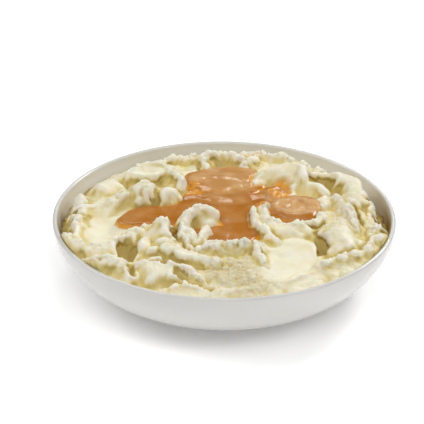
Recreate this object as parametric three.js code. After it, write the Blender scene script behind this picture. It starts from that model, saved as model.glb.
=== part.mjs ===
// A round coupe bowl heaped with mashed potato, with brown gravy lying in the hollows on top.
// Millimetres. +Z is up, +Y is the back. The origin is on the table, under the middle of the bowl.
// The heap is one height function: folds, knobs, scoops and creases left by the serving spoon are
// laid on a low mound or cut into it in turn, and the gravy floods the hollows between them.
import * as THREE from "three";

// ---- driving dimensions ----
const BOWL_RADIUS = 115;
const BOWL_HEIGHT = 46;
const WALL = 3.2; // thickness at the rim, which is fully rounded
const BASE_RADIUS = 57; // where the outside wall turns into the flat base
const BASE_THICKNESS = 3;
const FOOT_RADIUS = 52; // middle of the foot ring
const FOOT_WIDTH = 5;
const FOOT_HEIGHT = 1.5;
const CURVE = { out: 0.85, down: 1.2 }; // how full the wall's curve is, outward and downward
const BOWL_SEGMENTS = 64;
const WALL_STEPS = 8;
const RIM_STEPS = 4;

const GAP = 0.4; // clearance between touching pieces
const HEAP_RINGS = 34; // rings of points over the heap
const GRAVY_DEPTH = 3;
const GRAVY_LIP = 0.35; // thickness of the gravy right at its outline
const SHORE = 0.35; // share of a pool's radius over which its edge rounds down
const SHORE_FALL = 12; // how fast the gravy's level sinks below the mash outside a pool
const POOL_BLEND = { sharpness: 2.5, farthest: -4 }; // how the levels of pools run into each other
const DROP = 10; // every width below is measured where its shape has fallen by this much
const RING_STEP = 6; // more points in each ring than in the one inside it
const HEAP_CORE = 80; // the heap reaches the bowl's wall outside this radius
const LEAST_HEAP = 1; // thickness of the mash, at least
const HALVINGS = 24; // steps of a search for a height or an outline
const UNDER_RINGS = [[98, 70], [88, 60], [74, 48], [58, 36], [40, 24], [0, 1]]; // radius, points

// The mound under the folds: heights over the rim's plane in the middle and at the wall.
const MOUND = { middle: 0.5, fall: 3.5, fullness: 2.5, reach: 108, shoulder: 88 };
const AT_WALL = { drop: 9, frontKept: 0.6 }; // how far it dips by the wall, and less so in front
const LUMPS = { height: 2.6, size: 13, dip: 0.4, seed: 61 }; // round lumps over the open mash

// Waves, each as its height, size and seed.
const SWELLS = [[1.4, 34, 3]]; // over the whole mound
const GRAIN = [[0.6, 9, 21]]; // over open faces
const RAGGED = [[1.3, 8, 13], [0.5, 4.5, 14]]; // along crests
const UNEVEN = [[0.3, 11, 16], [0.25, 5, 17]]; // in the widths of folds, as a share
const WANDER = { size: 13, fine: 5 }; // the waves that move shapes sideways
const STRAY = { shapes: [2, 1.3, 1], pools: [2.5, 1, 31], lumps: [2.5, 1.2, 71] }; // reach, fine, seed
const WAVE_SHIFT = [17.3, -9.1]; // moves the lattice of waves by this much for each seed
const DOME_SHIFT = [5.3, -3.7]; // and that of round lumps
const DOME = { stray: 0.42, fall: 1.4 }; // how far a lump is off its cell's middle, how steep it is

// How the mash breaks: where two shapes meet, along crests, and on open faces.
const ROUNDING = { fold: 1, crease: 0.8, scoop: 1.2, pool: 0.35 };
const CREST_ROUND = 1.5; // radius that takes the edge off a crest
const CREST_REACH = 5; // how far from a crest its torn edge reaches
const TORN = { fold: 1, knob: 0.6, crease: 0.5 };
const CLEFT = 1.5; // how a cleft's sides curve: 1 would be straight
const SMOOTHED = { by: 0.85, reach: 0.8 }; // how a scoop wipes the grain away
const WET = 0.9; // share of the grain that is gone under the gravy
const BANK = 0.25; // how far outside a pool the mash starts to dip under it

// ---- the bowl's wall ----
const RIM_ROUND = WALL / 2;
const WALL_TOP = BOWL_HEIGHT - RIM_ROUND;
const INNER_RADIUS = BOWL_RADIUS - WALL;
const INNER_BASE = BASE_RADIUS - BASE_THICKNESS;
const INNER_FLOOR = FOOT_HEIGHT + BASE_THICKNESS;

// The curve from the rim (turn 0) down to the base (turn 1), as radius and height.
function wallPoint(turn, rimRadius, baseRadius, baseHeight) {
  const angle = (turn * Math.PI) / 2;
  const radius = baseRadius + (rimRadius - baseRadius) * Math.cos(angle) ** CURVE.out;
  const height = WALL_TOP - (WALL_TOP - baseHeight) * Math.sin(angle) ** CURVE.down;
  return new THREE.Vector2(turn === 1 ? baseRadius : radius, height);
}

// Height of the inside wall over the rim's plane at a distance from the middle.
function innerWall(radius) {
  const across = (radius - INNER_BASE) / (INNER_RADIUS - INNER_BASE);
  const cosine = Math.min(Math.max(across, 0), 1) ** (1 / CURVE.out);
  const fall = (1 - cosine * cosine) ** (CURVE.down / 2);
  return WALL_TOP - BOWL_HEIGHT - (WALL_TOP - INNER_FLOOR) * fall;
}

// The heap's underside, just clear of the inside wall.
const bed = (radius) => innerWall(radius + GAP) + GAP;

function makeBowl() {
  const footIn = FOOT_RADIUS - FOOT_WIDTH / 2;
  const footOut = FOOT_RADIUS + FOOT_WIDTH / 2;
  const profile = [
    [0, FOOT_HEIGHT],
    [footIn, FOOT_HEIGHT],
    [footIn, 0],
    [footOut, 0],
    [footOut, FOOT_HEIGHT],
  ].map(([radius, height]) => new THREE.Vector2(radius, height));
  for (let i = WALL_STEPS; i > 0; i--) {
    profile.push(wallPoint(i / WALL_STEPS, BOWL_RADIUS, BASE_RADIUS, FOOT_HEIGHT));
  }
  for (let i = 0; i <= RIM_STEPS; i++) {
    const angle = (i * Math.PI) / RIM_STEPS;
    const radius = BOWL_RADIUS - RIM_ROUND + RIM_ROUND * Math.cos(angle);
    profile.push(new THREE.Vector2(radius, WALL_TOP + RIM_ROUND * Math.sin(angle)));
  }
  for (let i = 1; i <= WALL_STEPS; i++) {
    profile.push(wallPoint(i / WALL_STEPS, INNER_RADIUS, INNER_BASE, INNER_FLOOR));
  }
  profile.push(new THREE.Vector2(0, INNER_FLOOR));
  return new THREE.LatheGeometry(profile, BOWL_SEGMENTS).rotateX(Math.PI / 2);
}

// ---- small maths ----
const clamp = (value, low, high) => Math.min(Math.max(value, low), high);
const ease = (value) => clamp(value, 0, 1) ** 2 * (3 - 2 * clamp(value, 0, 1));

// The higher or the lower of two heights, with the corner between them rounded off.
function higher(a, b, round) {
  const near = Math.max(round - Math.abs(a - b), 0) / round;
  return Math.max(a, b) + (near * near * round) / 4;
}
const lower = (a, b, round) => -higher(-a, -b, round);

// A repeatable number from -1 to 1 for each cell of a lattice.
function cellValue(ix, iy, seed) {
  const swing = Math.sin(ix * 127.1 + iy * 311.7 + seed * 74.7) * 43758.5453;
  return (swing - Math.floor(swing)) * 2 - 1;
}

// Smooth seeded waves from -1 to 1, about size across.
function wave(x, y, size, seed) {
  const gx = x / size + WAVE_SHIFT[0] * seed;
  const gy = y / size + WAVE_SHIFT[1] * seed;
  const ix = Math.floor(gx);
  const iy = Math.floor(gy);
  const fade = (f) => f * f * f * (f * (f * 6 - 15) + 10);
  const fx = fade(gx - ix);
  const fy = fade(gy - iy);
  const near = cellValue(ix, iy, seed) * (1 - fx) + cellValue(ix + 1, iy, seed) * fx;
  const far = cellValue(ix, iy + 1, seed) * (1 - fx) + cellValue(ix + 1, iy + 1, seed) * fx;
  return near * (1 - fy) + far * fy;
}

// Waves laid over each other.
const waves = (x, y, list) =>
  list.reduce((sum, [height, size, seed]) => sum + height * wave(x, y, size, seed), 0);

// Seeded round lumps about size across: 1 on top, with creases between them near 0.
function domes(x, y, size, seed) {
  const gx = x / size + DOME_SHIFT[0] * seed;
  const gy = y / size + DOME_SHIFT[1] * seed;
  let nearest = Infinity;
  for (const ix of [-1, 0, 1].map((step) => Math.floor(gx) + step)) {
    for (const iy of [-1, 0, 1].map((step) => Math.floor(gy) + step)) {
      const awayX = gx - ix - 0.5 - DOME.stray * cellValue(ix, iy, seed);
      const awayY = gy - iy - 0.5 - DOME.stray * cellValue(ix, iy, seed + 0.37);
      nearest = Math.min(nearest, awayX * awayX + awayY * awayY);
    }
  }
  return 1 - DOME.fall * nearest;
}

// Where a point lies by an arc from one end to the other that bulges to the left of that walk:
// how far along (0 to 1), how far off, and whether on the outer side.
function byArc(x, y, [x0, y0], [x1, y1], bulge) {
  const chord = Math.hypot(x1 - x0, y1 - y0);
  const radius = (chord * chord / 4 + bulge * bulge) / (2 * bulge);
  const cx = (x0 + x1) / 2 - ((y1 - y0) / chord) * (bulge - radius);
  const cy = (y0 + y1) / 2 + ((x1 - x0) / chord) * (bulge - radius);
  const start = Math.atan2(y0 - cy, x0 - cx);
  const half = Math.atan2(chord / 2, Math.abs(radius) - Math.abs(bulge));
  const sweep = -2 * Math.sign(bulge) * half;
  const fromMiddle = Math.atan2(y - cy, x - cx) - (start + sweep / 2);
  const wrapped = Math.atan2(Math.sin(fromMiddle), Math.cos(fromMiddle));
  const t = clamp(wrapped / sweep + 0.5, 0, 1);
  const px = cx + Math.abs(radius) * Math.cos(start + sweep * t);
  const py = cy + Math.abs(radius) * Math.sin(start + sweep * t);
  const outside = Math.hypot(x - cx, y - cy) > Math.abs(radius);
  return { t, off: Math.hypot(x - px, y - py), outside };
}

// A height along a fold, from the heights of its start, middle and end.
const along = (t, [a, b, c]) =>
  a * (1 - t) * (1 - 2 * t) + 4 * b * t * (1 - t) + c * t * (2 * t - 1);

// Place in an ellipse turned by some degrees: 1 is its edge.
function inEllipse(x, y, [cx, cy], [rx, ry], turn) {
  const c = Math.cos((turn * Math.PI) / 180);
  const s = Math.sin((turn * Math.PI) / 180);
  const u = ((x - cx) * c + (y - cy) * s) / rx;
  const v = ((y - cy) * c - (x - cx) * s) / ry;
  return u * u + v * v;
}

// ---- what the spoon can leave; each kind changes the heap at one place ----

// A ridge along an arc, with a width to each side and a height at its start, middle and end.
const fold = (from, to, bulge, heights, inner, outer, { flat = 1.4, torn = TORN.fold } = {}) =>
  (heap) => {
    const { t, off, outside } = byArc(heap.x, heap.y, from, to, bulge);
    const share = (Math.hypot(off, CREST_ROUND) - CREST_ROUND) / (outside ? outer : inner);
    const crest = along(t, heights) + torn * heap.ragged * Math.exp(-((off / CREST_REACH) ** 2));
    heap.height = higher(heap.height, crest - DROP * (share / heap.uneven) ** flat, ROUNDING.fold);
  };

// A cleft between two lumps.
const crease = (from, to, bulge, floors, width) => (heap) => {
  const { t, off } = byArc(heap.x, heap.y, from, to, bulge);
  const cut = along(t, floors) + TORN.crease * heap.ragged + DROP * (off / width) ** CLEFT;
  heap.height = lower(heap.height, cut, ROUNDING.crease);
};

// A round or long lump; the flatter, the more it is a plateau with steep sides.
const knob = (at, radii, top, { turn = 0, flat = 2, rounding = 2 } = {}) => (heap) => {
  const across = inEllipse(heap.x, heap.y, at, radii, turn);
  const lump = top + TORN.knob * heap.ragged - DROP * across ** (flat / 2);
  heap.height = higher(heap.height, lump, rounding);
};

// A smooth dish.
const scoop = (at, radii, floor, deep, { turn = 0, tilt = 0, smooth = 1 } = {}) => (heap) => {
  const across = inEllipse(heap.x, heap.y, at, radii, turn);
  const cut = floor + deep * across + tilt * (heap.y - at[1]);
  heap.height = lower(heap.height, cut, ROUNDING.scoop);
  heap.rough *= 1 - SMOOTHED.by * smooth * Math.exp(-((across / SMOOTHED.reach) ** 2));
};

// ---- what it left: places from the middle, and heights over the rim's plane ----
const SHAPES = [
  fold([14, 88], [81, 46], 8, [2, 3.5, 0], 12, 6, { torn: 1.3 }), // back right edge
  fold([-64, 67], [4, 87], 6, [0, 1.5, 1], 12, 6, { torn: 1.6 }), // back left edge
  fold([-46, 70], [-17, 74], 3, [3.5, 5, 4.5], 8, 7, { torn: 1.5 }), // back left row
  knob([-80, 32], [14, 13], 6, { flat: 3 }), // left back facet
  knob([-51, 46], [20, 13], 10, { turn: 5, flat: 6 }), // slab
  fold([-66, 42], [-35, 38], 12, [8.5, 12, 11], 6, 7, { torn: 0.6 }), // slab's rim
  scoop([-53, 43], [12, 6], 8, 3, { turn: 5 }), // slab's basin
  fold([-35, 40], [-32, 25], 2, [10.5, 10, 7], 8, 6, { flat: 1.6, torn: 1.3 }), // slab lobe
  fold([-13, 58], [12, 62], 16, [5, 9, 6], 6, 10), // back arch
  knob([18, 69], [9, 9], 8), // arch's knob
  scoop([-1, 64], [8, 10], 0, 6), // back arch hollow
  knob([39, 44], [14, 15], 8), // shoulder
  fold([22, 36], [46, 10], 26, [6, 15.5, 6.5], 15, 8, { flat: 1.3, torn: 0.2 }), // its crest
  fold([51, 37], [83, -2], 22, [8, 11.5, 7.5], 9, 10, { flat: 2.4, torn: 0.3 }), // loop
  scoop([68, 34], [8, 11], -3, 8, { turn: -20 }), // loop hollow
  fold([47, 24], [68, 8], 10, [8, 10, 7], 8, 6, { flat: 2, torn: 0.2 }), // tongue
  scoop([55, 16], [9, 9], 2, 5, { turn: -40 }), // tongue hollow
  knob([-97, 14], [7, 9], 3), // left lump, back
  knob([-99, -10], [6, 8], 1.5), // left lump, front
  knob([-55, 14], [13, 10], 13.5, { flat: 2.4 }), // left knob
  knob([-38, 12], [9, 9], 11, { flat: 2.4 }), // right knob
  fold([-94, -3], [-66, 11], -3, [6.5, 8, 9.5], 8, 5, { torn: 1.3 }), // scoop's top lip
  fold([-98, -14], [-60, -41], -27, [3.5, 4.5, 6.5], 9, 15, { torn: 1.4 }), // scoop's low lip
  scoop([-81, -22], [19, 27], -4.5, 9, { turn: 4 }), // left scoop
  fold([-66, -41], [-36, -38], 2, [2.5, 8.5, 15.5], 20, 7, { flat: 1.5, torn: 1.4 }), // peak
  knob([-50, -54], [9, 12], 7.5, { flat: 2 }), // column
  knob([-44, -63], [7, 8], 7, { flat: 2.4 }), // lower column
  fold([-80, -72], [-58, -84], 4, [4, 5, 2], 12, 14, { torn: 1.4 }), // hollow's left lip
  scoop([-62, -60], [7, 14], -9, 12, { smooth: 0.5 }), // deep hollow
  fold([-36, -63], [-8, -74], -2, [8, 7.5, 5], 10, 8, { flat: 2, torn: 0.3 }), // roll
  knob([-41, -84], [13, 11], 4.5, { turn: -15, flat: 3 }), // front lobe
  fold([-53, -79], [-31, -83], 5, [3.5, 6.5, 4], 6, 8, { torn: 1.2 }), // lobe's crest
  fold([-43, -76], [-9, -102], 3, [5.5, 5.5, -1], 14, 10, { torn: 1.2 }), // diagonal
  knob([14, -78], [27, 22], 1, { rounding: 4 }), // front bulge
  knob([46, -62], [26, 34], 5, { flat: 2.5, rounding: 4 }), // right slope's body
  scoop([44, -69], [24, 33], -1.5, 5, { tilt: 0.13 }), // right slope
  fold([-8, -18], [-19, -60], -17, [12.5, 13, 6.5], 7, 5, { torn: 1.1 }), // curl
  fold([-11, -38], [-21, -54], 1, [9, 8, 6], 3, 3.5, { torn: 0.5 }), // spur
  fold([-22, -66], [24, -58], 6, [5, 7, 7], 10, 9, { torn: 1.6 }), // front crest
  fold([19, -57], [27, -76], -1, [6.5, 5.5, 1.5], 4, 5, { torn: 1.2 }), // second row
  fold([19, -8], [33, -49], -2, [7.5, 8, 6.5], 4.5, 5), // right lip
  fold([28, -8], [64, -17], -20, [7.5, 8.5, 8.5], 5, 14, { torn: 1.2 }), // cup
  knob([67, 2], [11, 14], 8, { flat: 2.5 }), // cup's side
  knob([82, -14], [17, 32], 6.5, { flat: 3, rounding: 4 }), // right mass
  fold([75, 3], [85, -38], 4, [10, 10, 6], 12, 5, { torn: 1.3 }), // fingers
  fold([90, 28], [98, -32], 5, [2, 5, 3], 13, 9, { torn: 1.8 }), // right edge lumps
  knob([85, -52], [13, 11], 4.5, { flat: 3, rounding: 4 }), // shelf by the egg
  fold([74, -36], [72, -66], 2, [11.5, 10, 1], 13, 13, { flat: 2, torn: 0.1 }), // egg
  scoop([61, -53], [4, 12], -4, 8, { smooth: 0.8 }), // gap by the egg
  fold([63, -73], [102, -36], -4, [2, 3.5, 2], 8, 14, { torn: 1.2 }), // front right edge
  knob([66, -73], [5, 4], 4, { flat: 2.2 }), // edge lump 1
  knob([75, -68], [5, 5], 5, { flat: 2.2 }), // edge lump 2
  knob([84, -62], [4, 4], 5, { flat: 2.2 }), // edge lump 3
  knob([92, -54], [5, 5], 5.5, { flat: 2.2 }), // edge lump 4
  knob([100, -43], [4, 6], 5.5, { flat: 2.2 }), // edge lump 5
  fold([0, -104], [66, -72], -4, [-1, 0, 0.5], 9, 12, { torn: 0.3 }), // spoon's mark
  crease([-33, -31], [-16, -66], -6, [-1, 2, 2], 5), // left of the curl
  crease([-41, -65], [-36, -79], 1, [3, 0, 0], 5), // right of the column
  crease([-55, -66], [-56, -86], -1, [-2, -3, -4], 5), // left of the lobe
  crease([-53, -91], [-28, -95], -3, [-4, -5, -4], 5), // under the lobe
  crease([-53, -73], [-33, -75], -2, [1, 0, 0], 4), // behind the lobe
  crease([-34, -71], [-13, -80], -1, [0, -1, -1], 5), // under the roll
  crease([-29, -88], [-8, -100], -1, [-2, -4, -5], 6), // right of the diagonal
  crease([-64, 36], [-38, 34], -2, [1, 2, 2], 6), // under the slab
  crease([-44, 23], [-46, 8], -1, [5, 5, 3], 5), // between the knobs
  crease([-93, 20], [-68, 22], -2, [-2, 0, 1], 6), // under the facet
  crease([-107, 34], [-106, -28], -5, [-12, -12, -12], 8), // by the left wall
  crease([88, -3], [92, -31], 1, [2, 0, 2], 4), // right of the fingers
  crease([99, 44], [107, -14], 4, [-7, -11, -10], 8), // by the right wall
  crease([60, 20], [76, 16], -4, [3, 1, 2], 5), // under the tongue
  crease([66, -22], [58, -33], 2, [4, 2, 0], 5), // between cup and egg
  crease([68, -68], [100, -33], -4, [0, 1, 0], 4), // inside the front edge
  crease([-60, 80], [-14, 94], 3, [-6, -6, -6], 7), // by the back wall
  crease([-19, 68], [-12, 54], -2, [0, 0, 2], 6), // left of the arch
  crease([13, 62], [25, 74], -4, [4, 2, 1], 6), // right of the arch
];

// Pools of gravy, as overlapping ellipses: each one with the height its surface stands at.
const POOLS = [
  { at: [1, 38], radii: [29, 23], turn: 0, level: 4.5 },
  { at: [-43, -8], radii: [30, 14], turn: 22, level: 2 },
  { at: [4, -24], radii: [25, 30], turn: 0, level: 2.5 },
  { at: [-34, -23], radii: [5, 22], turn: -5, level: 2.5 },
  { at: [0, 8], radii: [34, 14], turn: 0, level: 3.2 },
  { at: [33, 16], radii: [14, 17], turn: 0, level: 5.5 },
  { at: [47, -6], radii: [19, 19], turn: 0, level: 7.5 },
];

// The heap before any fold: a low mound that dips next to the bowl's wall.
function mound(x, y) {
  const radius = Math.hypot(x, y);
  const towardsFront = clamp(-y / MOUND.reach, 0, 1);
  const nearWall = clamp((radius - MOUND.shoulder) / (MOUND.reach - MOUND.shoulder), 0, 1);
  const dip = AT_WALL.drop * nearWall ** 2 * (1 - AT_WALL.frontKept * towardsFront);
  const dome = MOUND.middle - MOUND.fall * (radius / MOUND.reach) ** MOUND.fullness;
  return dome - dip + waves(x, y, SWELLS);
}

// Point moved sideways by soft waves, so that no arc or ellipse runs true.
function wander(x, y, wide, fine, seed) {
  return [
    x + waves(x, y, [[wide, WANDER.size, seed], [fine, WANDER.fine, seed + 1]]),
    y + waves(x, y, [[wide, WANDER.size, seed + 4], [fine, WANDER.fine, seed + 5]]),
  ];
}

// How far inside the gravy a point is (1 mid-pool, 0 at the edge) and how high the gravy stands.
function pooled(x, y) {
  const [wx, wy] = wander(x, y, ...STRAY.pools);
  let inside = -9;
  let weights = 0;
  let levels = 0;
  for (const { at, radii, turn, level } of POOLS) {
    const within = 1 - inEllipse(wx, wy, at, radii, turn);
    const weight = Math.exp(POOL_BLEND.sharpness * Math.max(within, POOL_BLEND.farthest));
    inside = higher(inside, within, ROUNDING.pool);
    weights += weight;
    levels += weight * level;
  }
  return { inside, level: levels / weights };
}

// The gravy's depth over bare mash: rounded at the edge, and below zero outside it.
function depthAt(inside) {
  if (inside <= 0) return inside * SHORE_FALL;
  const out = 1 - Math.min(inside / SHORE, 1);
  return GRAVY_DEPTH * Math.sqrt(1 - out * out);
}

// The mash's height, the gravy's height, and how far the gravy stands over the mash.
function relief(x, y) {
  const { inside, level } = pooled(x, y);
  const under = ease((inside + BANK) / (2 * BANK));
  const bare = mound(x, y) * (1 - under) + (level - GRAVY_DEPTH) * under;
  const lump = domes(...wander(x, y, ...STRAY.lumps), LUMPS.size, LUMPS.seed) - LUMPS.dip;
  const [wx, wy] = wander(x, y, ...STRAY.shapes);
  const heap = {
    x: wx,
    y: wy,
    height: bare + LUMPS.height * (1 - under) * lump,
    ragged: waves(x, y, RAGGED),
    uneven: 1 + waves(x, y, UNEVEN),
    rough: 1 - WET * under,
  };
  for (const shape of SHAPES) shape(heap);
  const mash = heap.height + heap.rough * waves(x, y, GRAIN);
  const gravy = bare + depthAt(inside);
  return { mash, gravy, over: gravy - mash };
}

// ---- the heap's points: rings round the middle, the last of them on the bowl's wall ----
function edgeRadius(angle) {
  let near = HEAP_CORE;
  let far = INNER_RADIUS - GAP;
  for (let i = 0; i < HALVINGS; i++) {
    const middle = (near + far) / 2;
    const { mash } = relief(middle * Math.cos(angle), middle * Math.sin(angle));
    if (mash > bed(middle)) near = middle;
    else far = middle;
  }
  return near;
}

// One ring of evenly spaced points, added to a list of points, as the points' numbers.
function ring(points, count, place) {
  return Array.from({ length: count }, (_, i) => points.push(place((2 * Math.PI * i) / count)) - 1);
}

// Triangles between an inner and an outer ring, always stepping along the ring that lags behind.
function bridge(inner, outer, triangles) {
  const innerSteps = inner.length > 1 ? inner.length : 0;
  let i = 0;
  let j = 0;
  while (i < innerSteps || j < outer.length) {
    const a = inner[i % inner.length];
    const b = outer[j % outer.length];
    const outerLags = (j + 1) / outer.length <= (i + 1) / innerSteps;
    if (i === innerSteps || (j < outer.length && outerLags)) {
      j += 1;
      triangles.push([a, b, outer[j % outer.length]]);
    } else {
      i += 1;
      triangles.push([a, b, inner[i % inner.length]]);
    }
  }
}

function solid(points, triangles) {
  const geometry = new THREE.BufferGeometry();
  geometry.setAttribute("position", new THREE.Float32BufferAttribute(points.flat(), 3));
  geometry.setIndex(triangles.flat());
  return geometry.toNonIndexed();
}

// The grid in plan, before heights.
function heapGrid() {
  const points = [];
  const triangles = [];
  const count = RING_STEP * HEAP_RINGS;
  const edge = Array.from({ length: count }, (_, i) => edgeRadius((2 * Math.PI * i) / count));
  const reach = (angle) => {
    const place = (angle / (2 * Math.PI)) * edge.length;
    const low = Math.floor(place + 1e-9);
    const part = place - low;
    return edge[low % edge.length] * (1 - part) + edge[(low + 1) % edge.length] * part;
  };
  let inner = ring(points, 1, () => [0, 0]);
  for (let k = 1; k <= HEAP_RINGS; k++) {
    const share = k / HEAP_RINGS;
    const outer = ring(points, RING_STEP * k, (angle) => {
      const radius = reach(angle) * share;
      return [radius * Math.cos(angle), radius * Math.sin(angle)];
    });
    bridge(inner, outer, triangles);
    inner = outer;
  }
  return { points, triangles, rim: inner };
}

// Moves grid points onto the gravy's outline where an edge of the grid crosses it.
function snapToGravy({ points, triangles, rim }) {
  const fixed = new Set(rim);
  const over = points.map(([x, y]) => relief(x, y).over);
  const best = new Map();
  const offer = (index, share, to) => {
    if (fixed.has(index) || (best.has(index) && best.get(index).share <= share)) return;
    best.set(index, { share, to });
  };
  for (const triangle of triangles) {
    for (let side = 0; side < 3; side++) {
      const a = triangle[side];
      const b = triangle[(side + 1) % 3];
      if (a > b || over[a] > 0 === over[b] > 0) continue;
      let low = 0;
      let high = 1;
      const at = (s) => points[a].map((value, axis) => value * (1 - s) + points[b][axis] * s);
      for (let i = 0; i < HALVINGS; i++) {
        const middle = (low + high) / 2;
        if (relief(...at(middle)).over > 0 === over[a] > 0) low = middle;
        else high = middle;
      }
      if (low < 0.5) offer(a, low, at(low));
      else offer(b, 1 - low, at(low));
    }
  }
  for (const [index, { to }] of best) points[index] = to;
  return new Set(best.keys());
}

// Keeps the largest patch of triangles that hang together by their edges.
function largestPatch(triangles) {
  const byEdge = new Map();
  const key = (a, b) => (a < b ? `${a},${b}` : `${b},${a}`);
  triangles.forEach((triangle, number) => {
    triangle.forEach((a, side) => {
      const edge = key(a, triangle[(side + 1) % 3]);
      byEdge.set(edge, [...(byEdge.get(edge) ?? []), number]);
    });
  });
  const seen = new Set();
  let largest = [];
  triangles.forEach((_, first) => {
    if (seen.has(first)) return;
    seen.add(first);
    const patch = [first];
    for (const number of patch) {
      triangles[number].forEach((a, side) => {
        for (const next of byEdge.get(key(a, triangles[number][(side + 1) % 3]))) {
          if (seen.has(next)) continue;
          seen.add(next);
          patch.push(next);
        }
      });
    }
    if (patch.length > largest.length) largest = patch;
  });
  return largest.map((number) => triangles[number]);
}

// Where parts of a patch meet at a single point, drops all but the largest part there.
function withoutPinches(triangles) {
  const round = new Map();
  triangles.forEach((triangle) => {
    triangle.forEach((index) => round.set(index, [...(round.get(index) ?? []), triangle]));
  });
  const dropped = new Set();
  for (const [index, fan] of round) {
    const ends = fan.map((triangle) => triangle.filter((other) => other !== index));
    const groups = [];
    ends.forEach((pair, number) => {
      const touching = groups.filter((group) => group.ends.some((end) => pair.includes(end)));
      const merged = { ends: [...pair], members: [number] };
      for (const group of touching) {
        merged.ends.push(...group.ends);
        merged.members.push(...group.members);
        groups.splice(groups.indexOf(group), 1);
      }
      groups.push(merged);
    });
    groups.sort((a, b) => b.members.length - a.members.length);
    for (const { members } of groups.slice(1)) members.forEach((number) => dropped.add(fan[number]));
  }
  return dropped.size ? withoutPinches(triangles.filter((triangle) => !dropped.has(triangle))) : triangles;
}

// The heap: the relief on top, and a coarser underside that follows the bowl.
function makeHeap(grid, heights) {
  const points = grid.points.map(([x, y], index) => [x, y, BOWL_HEIGHT + heights[index].mash]);
  for (const index of grid.rim) {
    const [x, y] = grid.points[index];
    points[index][2] = BOWL_HEIGHT + bed(Math.hypot(x, y));
  }
  const underside = [];
  let outer = grid.rim;
  for (const [radius, count] of UNDER_RINGS) {
    const height = BOWL_HEIGHT + bed(radius);
    const inner = ring(points, count, (angle) =>
      [radius * Math.cos(angle), radius * Math.sin(angle), height]);
    bridge(inner, outer, underside);
    outer = inner;
  }
  return solid(points, [...grid.triangles, ...underside.map(([a, b, c]) => [a, c, b])]);
}

// The gravy: one flooded patch of the same grid, a sheet that ends in a thin lip on the mash.
function makeGravy(grid, heights, outline) {
  const wet = (index) => outline.has(index) || heights[index].over > 0;
  const flooded = grid.triangles.filter((triangle) => {
    if (!triangle.every(wet)) return false;
    if (!triangle.every((index) => outline.has(index))) return true;
    const middle = [0, 1].map((axis) =>
      triangle.reduce((sum, index) => sum + grid.points[index][axis] / 3, 0));
    return relief(...middle).over > 0;
  });
  const top = largestPatch(withoutPinches(largestPatch(flooded)));
  const open = new Map();
  for (const triangle of top) {
    triangle.forEach((a, side) => {
      const b = triangle[(side + 1) % 3];
      if (!open.delete(`${b},${a}`)) open.set(`${a},${b}`, [a, b]);
    });
  }
  const edge = new Set([...open.values()].flat());
  const used = [...new Set(top.flat())];
  const upper = new Map(used.map((index, place) => [index, place]));
  const points = used.map((index) => {
    const { mash, gravy } = heights[index];
    const lip = mash + GAP + GRAVY_LIP;
    return [...grid.points[index], BOWL_HEIGHT + (edge.has(index) ? lip : Math.max(gravy, lip))];
  });
  for (const index of used) {
    points.push([...grid.points[index], BOWL_HEIGHT + heights[index].mash + GAP]);
  }
  const under = (index) => upper.get(index) + used.length;
  const triangles = top.map((triangle) => triangle.map((index) => upper.get(index)));
  for (const [a, b, c] of top) triangles.push([under(a), under(c), under(b)]);
  for (const [a, b] of open.values()) {
    triangles.push([upper.get(b), upper.get(a), under(a)]);
    triangles.push([upper.get(b), under(a), under(b)]);
  }
  return solid(points, triangles);
}

const grid = heapGrid();
const outline = snapToGravy(grid);
const heights = grid.points.map(([x, y]) => {
  const { mash, gravy, over } = relief(x, y);
  return { mash: Math.max(mash, bed(Math.hypot(x, y)) + LEAST_HEAP), gravy, over };
});

const porcelain = new THREE.MeshStandardMaterial({ color: 0xe6e4df, roughness: 0.2 });
const potato = new THREE.MeshStandardMaterial({ color: 0xe6dcb4, roughness: 0.6 });
const sauce = new THREE.MeshStandardMaterial({ color: 0xb4702f, roughness: 0.2 });

const group = new THREE.Group();
for (const [name, geometry, material] of [
  ["bowl", makeBowl(), porcelain],
  ["mash", makeHeap(grid, heights), potato],
  ["gravy", makeGravy(grid, heights, outline), sauce],
]) {
  const mesh = new THREE.Mesh(geometry, material);
  mesh.name = name;
  group.add(mesh);
}

export default group;
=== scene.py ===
"""A coupe bowl heaped with mashed potato and gravy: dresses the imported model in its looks."""
import itertools
import math

import bpy
import numpy as np
from bpy.props import FloatProperty, FloatVectorProperty, IntProperty, PointerProperty
from mathutils import Matrix, Vector


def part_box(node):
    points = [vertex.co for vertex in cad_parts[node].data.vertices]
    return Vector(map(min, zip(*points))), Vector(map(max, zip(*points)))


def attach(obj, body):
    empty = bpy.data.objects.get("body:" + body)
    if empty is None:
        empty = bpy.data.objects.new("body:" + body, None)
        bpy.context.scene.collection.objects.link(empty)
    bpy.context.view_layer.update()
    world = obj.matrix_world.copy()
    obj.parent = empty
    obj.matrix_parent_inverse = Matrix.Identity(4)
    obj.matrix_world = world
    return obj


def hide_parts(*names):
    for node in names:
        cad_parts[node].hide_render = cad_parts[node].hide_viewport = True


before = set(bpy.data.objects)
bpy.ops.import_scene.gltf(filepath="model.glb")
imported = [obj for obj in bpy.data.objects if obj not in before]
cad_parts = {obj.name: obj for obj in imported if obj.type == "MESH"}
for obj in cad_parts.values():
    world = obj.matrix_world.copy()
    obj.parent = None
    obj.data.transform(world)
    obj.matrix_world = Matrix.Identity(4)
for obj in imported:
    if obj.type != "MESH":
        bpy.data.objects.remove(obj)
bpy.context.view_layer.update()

bl_info = {
    "name": "Mashed Potato Side",
    "version": (1, 0, 0),
    "blender": (4, 5, 0),
    "location": "View3D > Sidebar > Mash",
    "description": "Builds a bowl of mashed potato with gravy over its packed model",
    "category": "Object",
}

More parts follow.
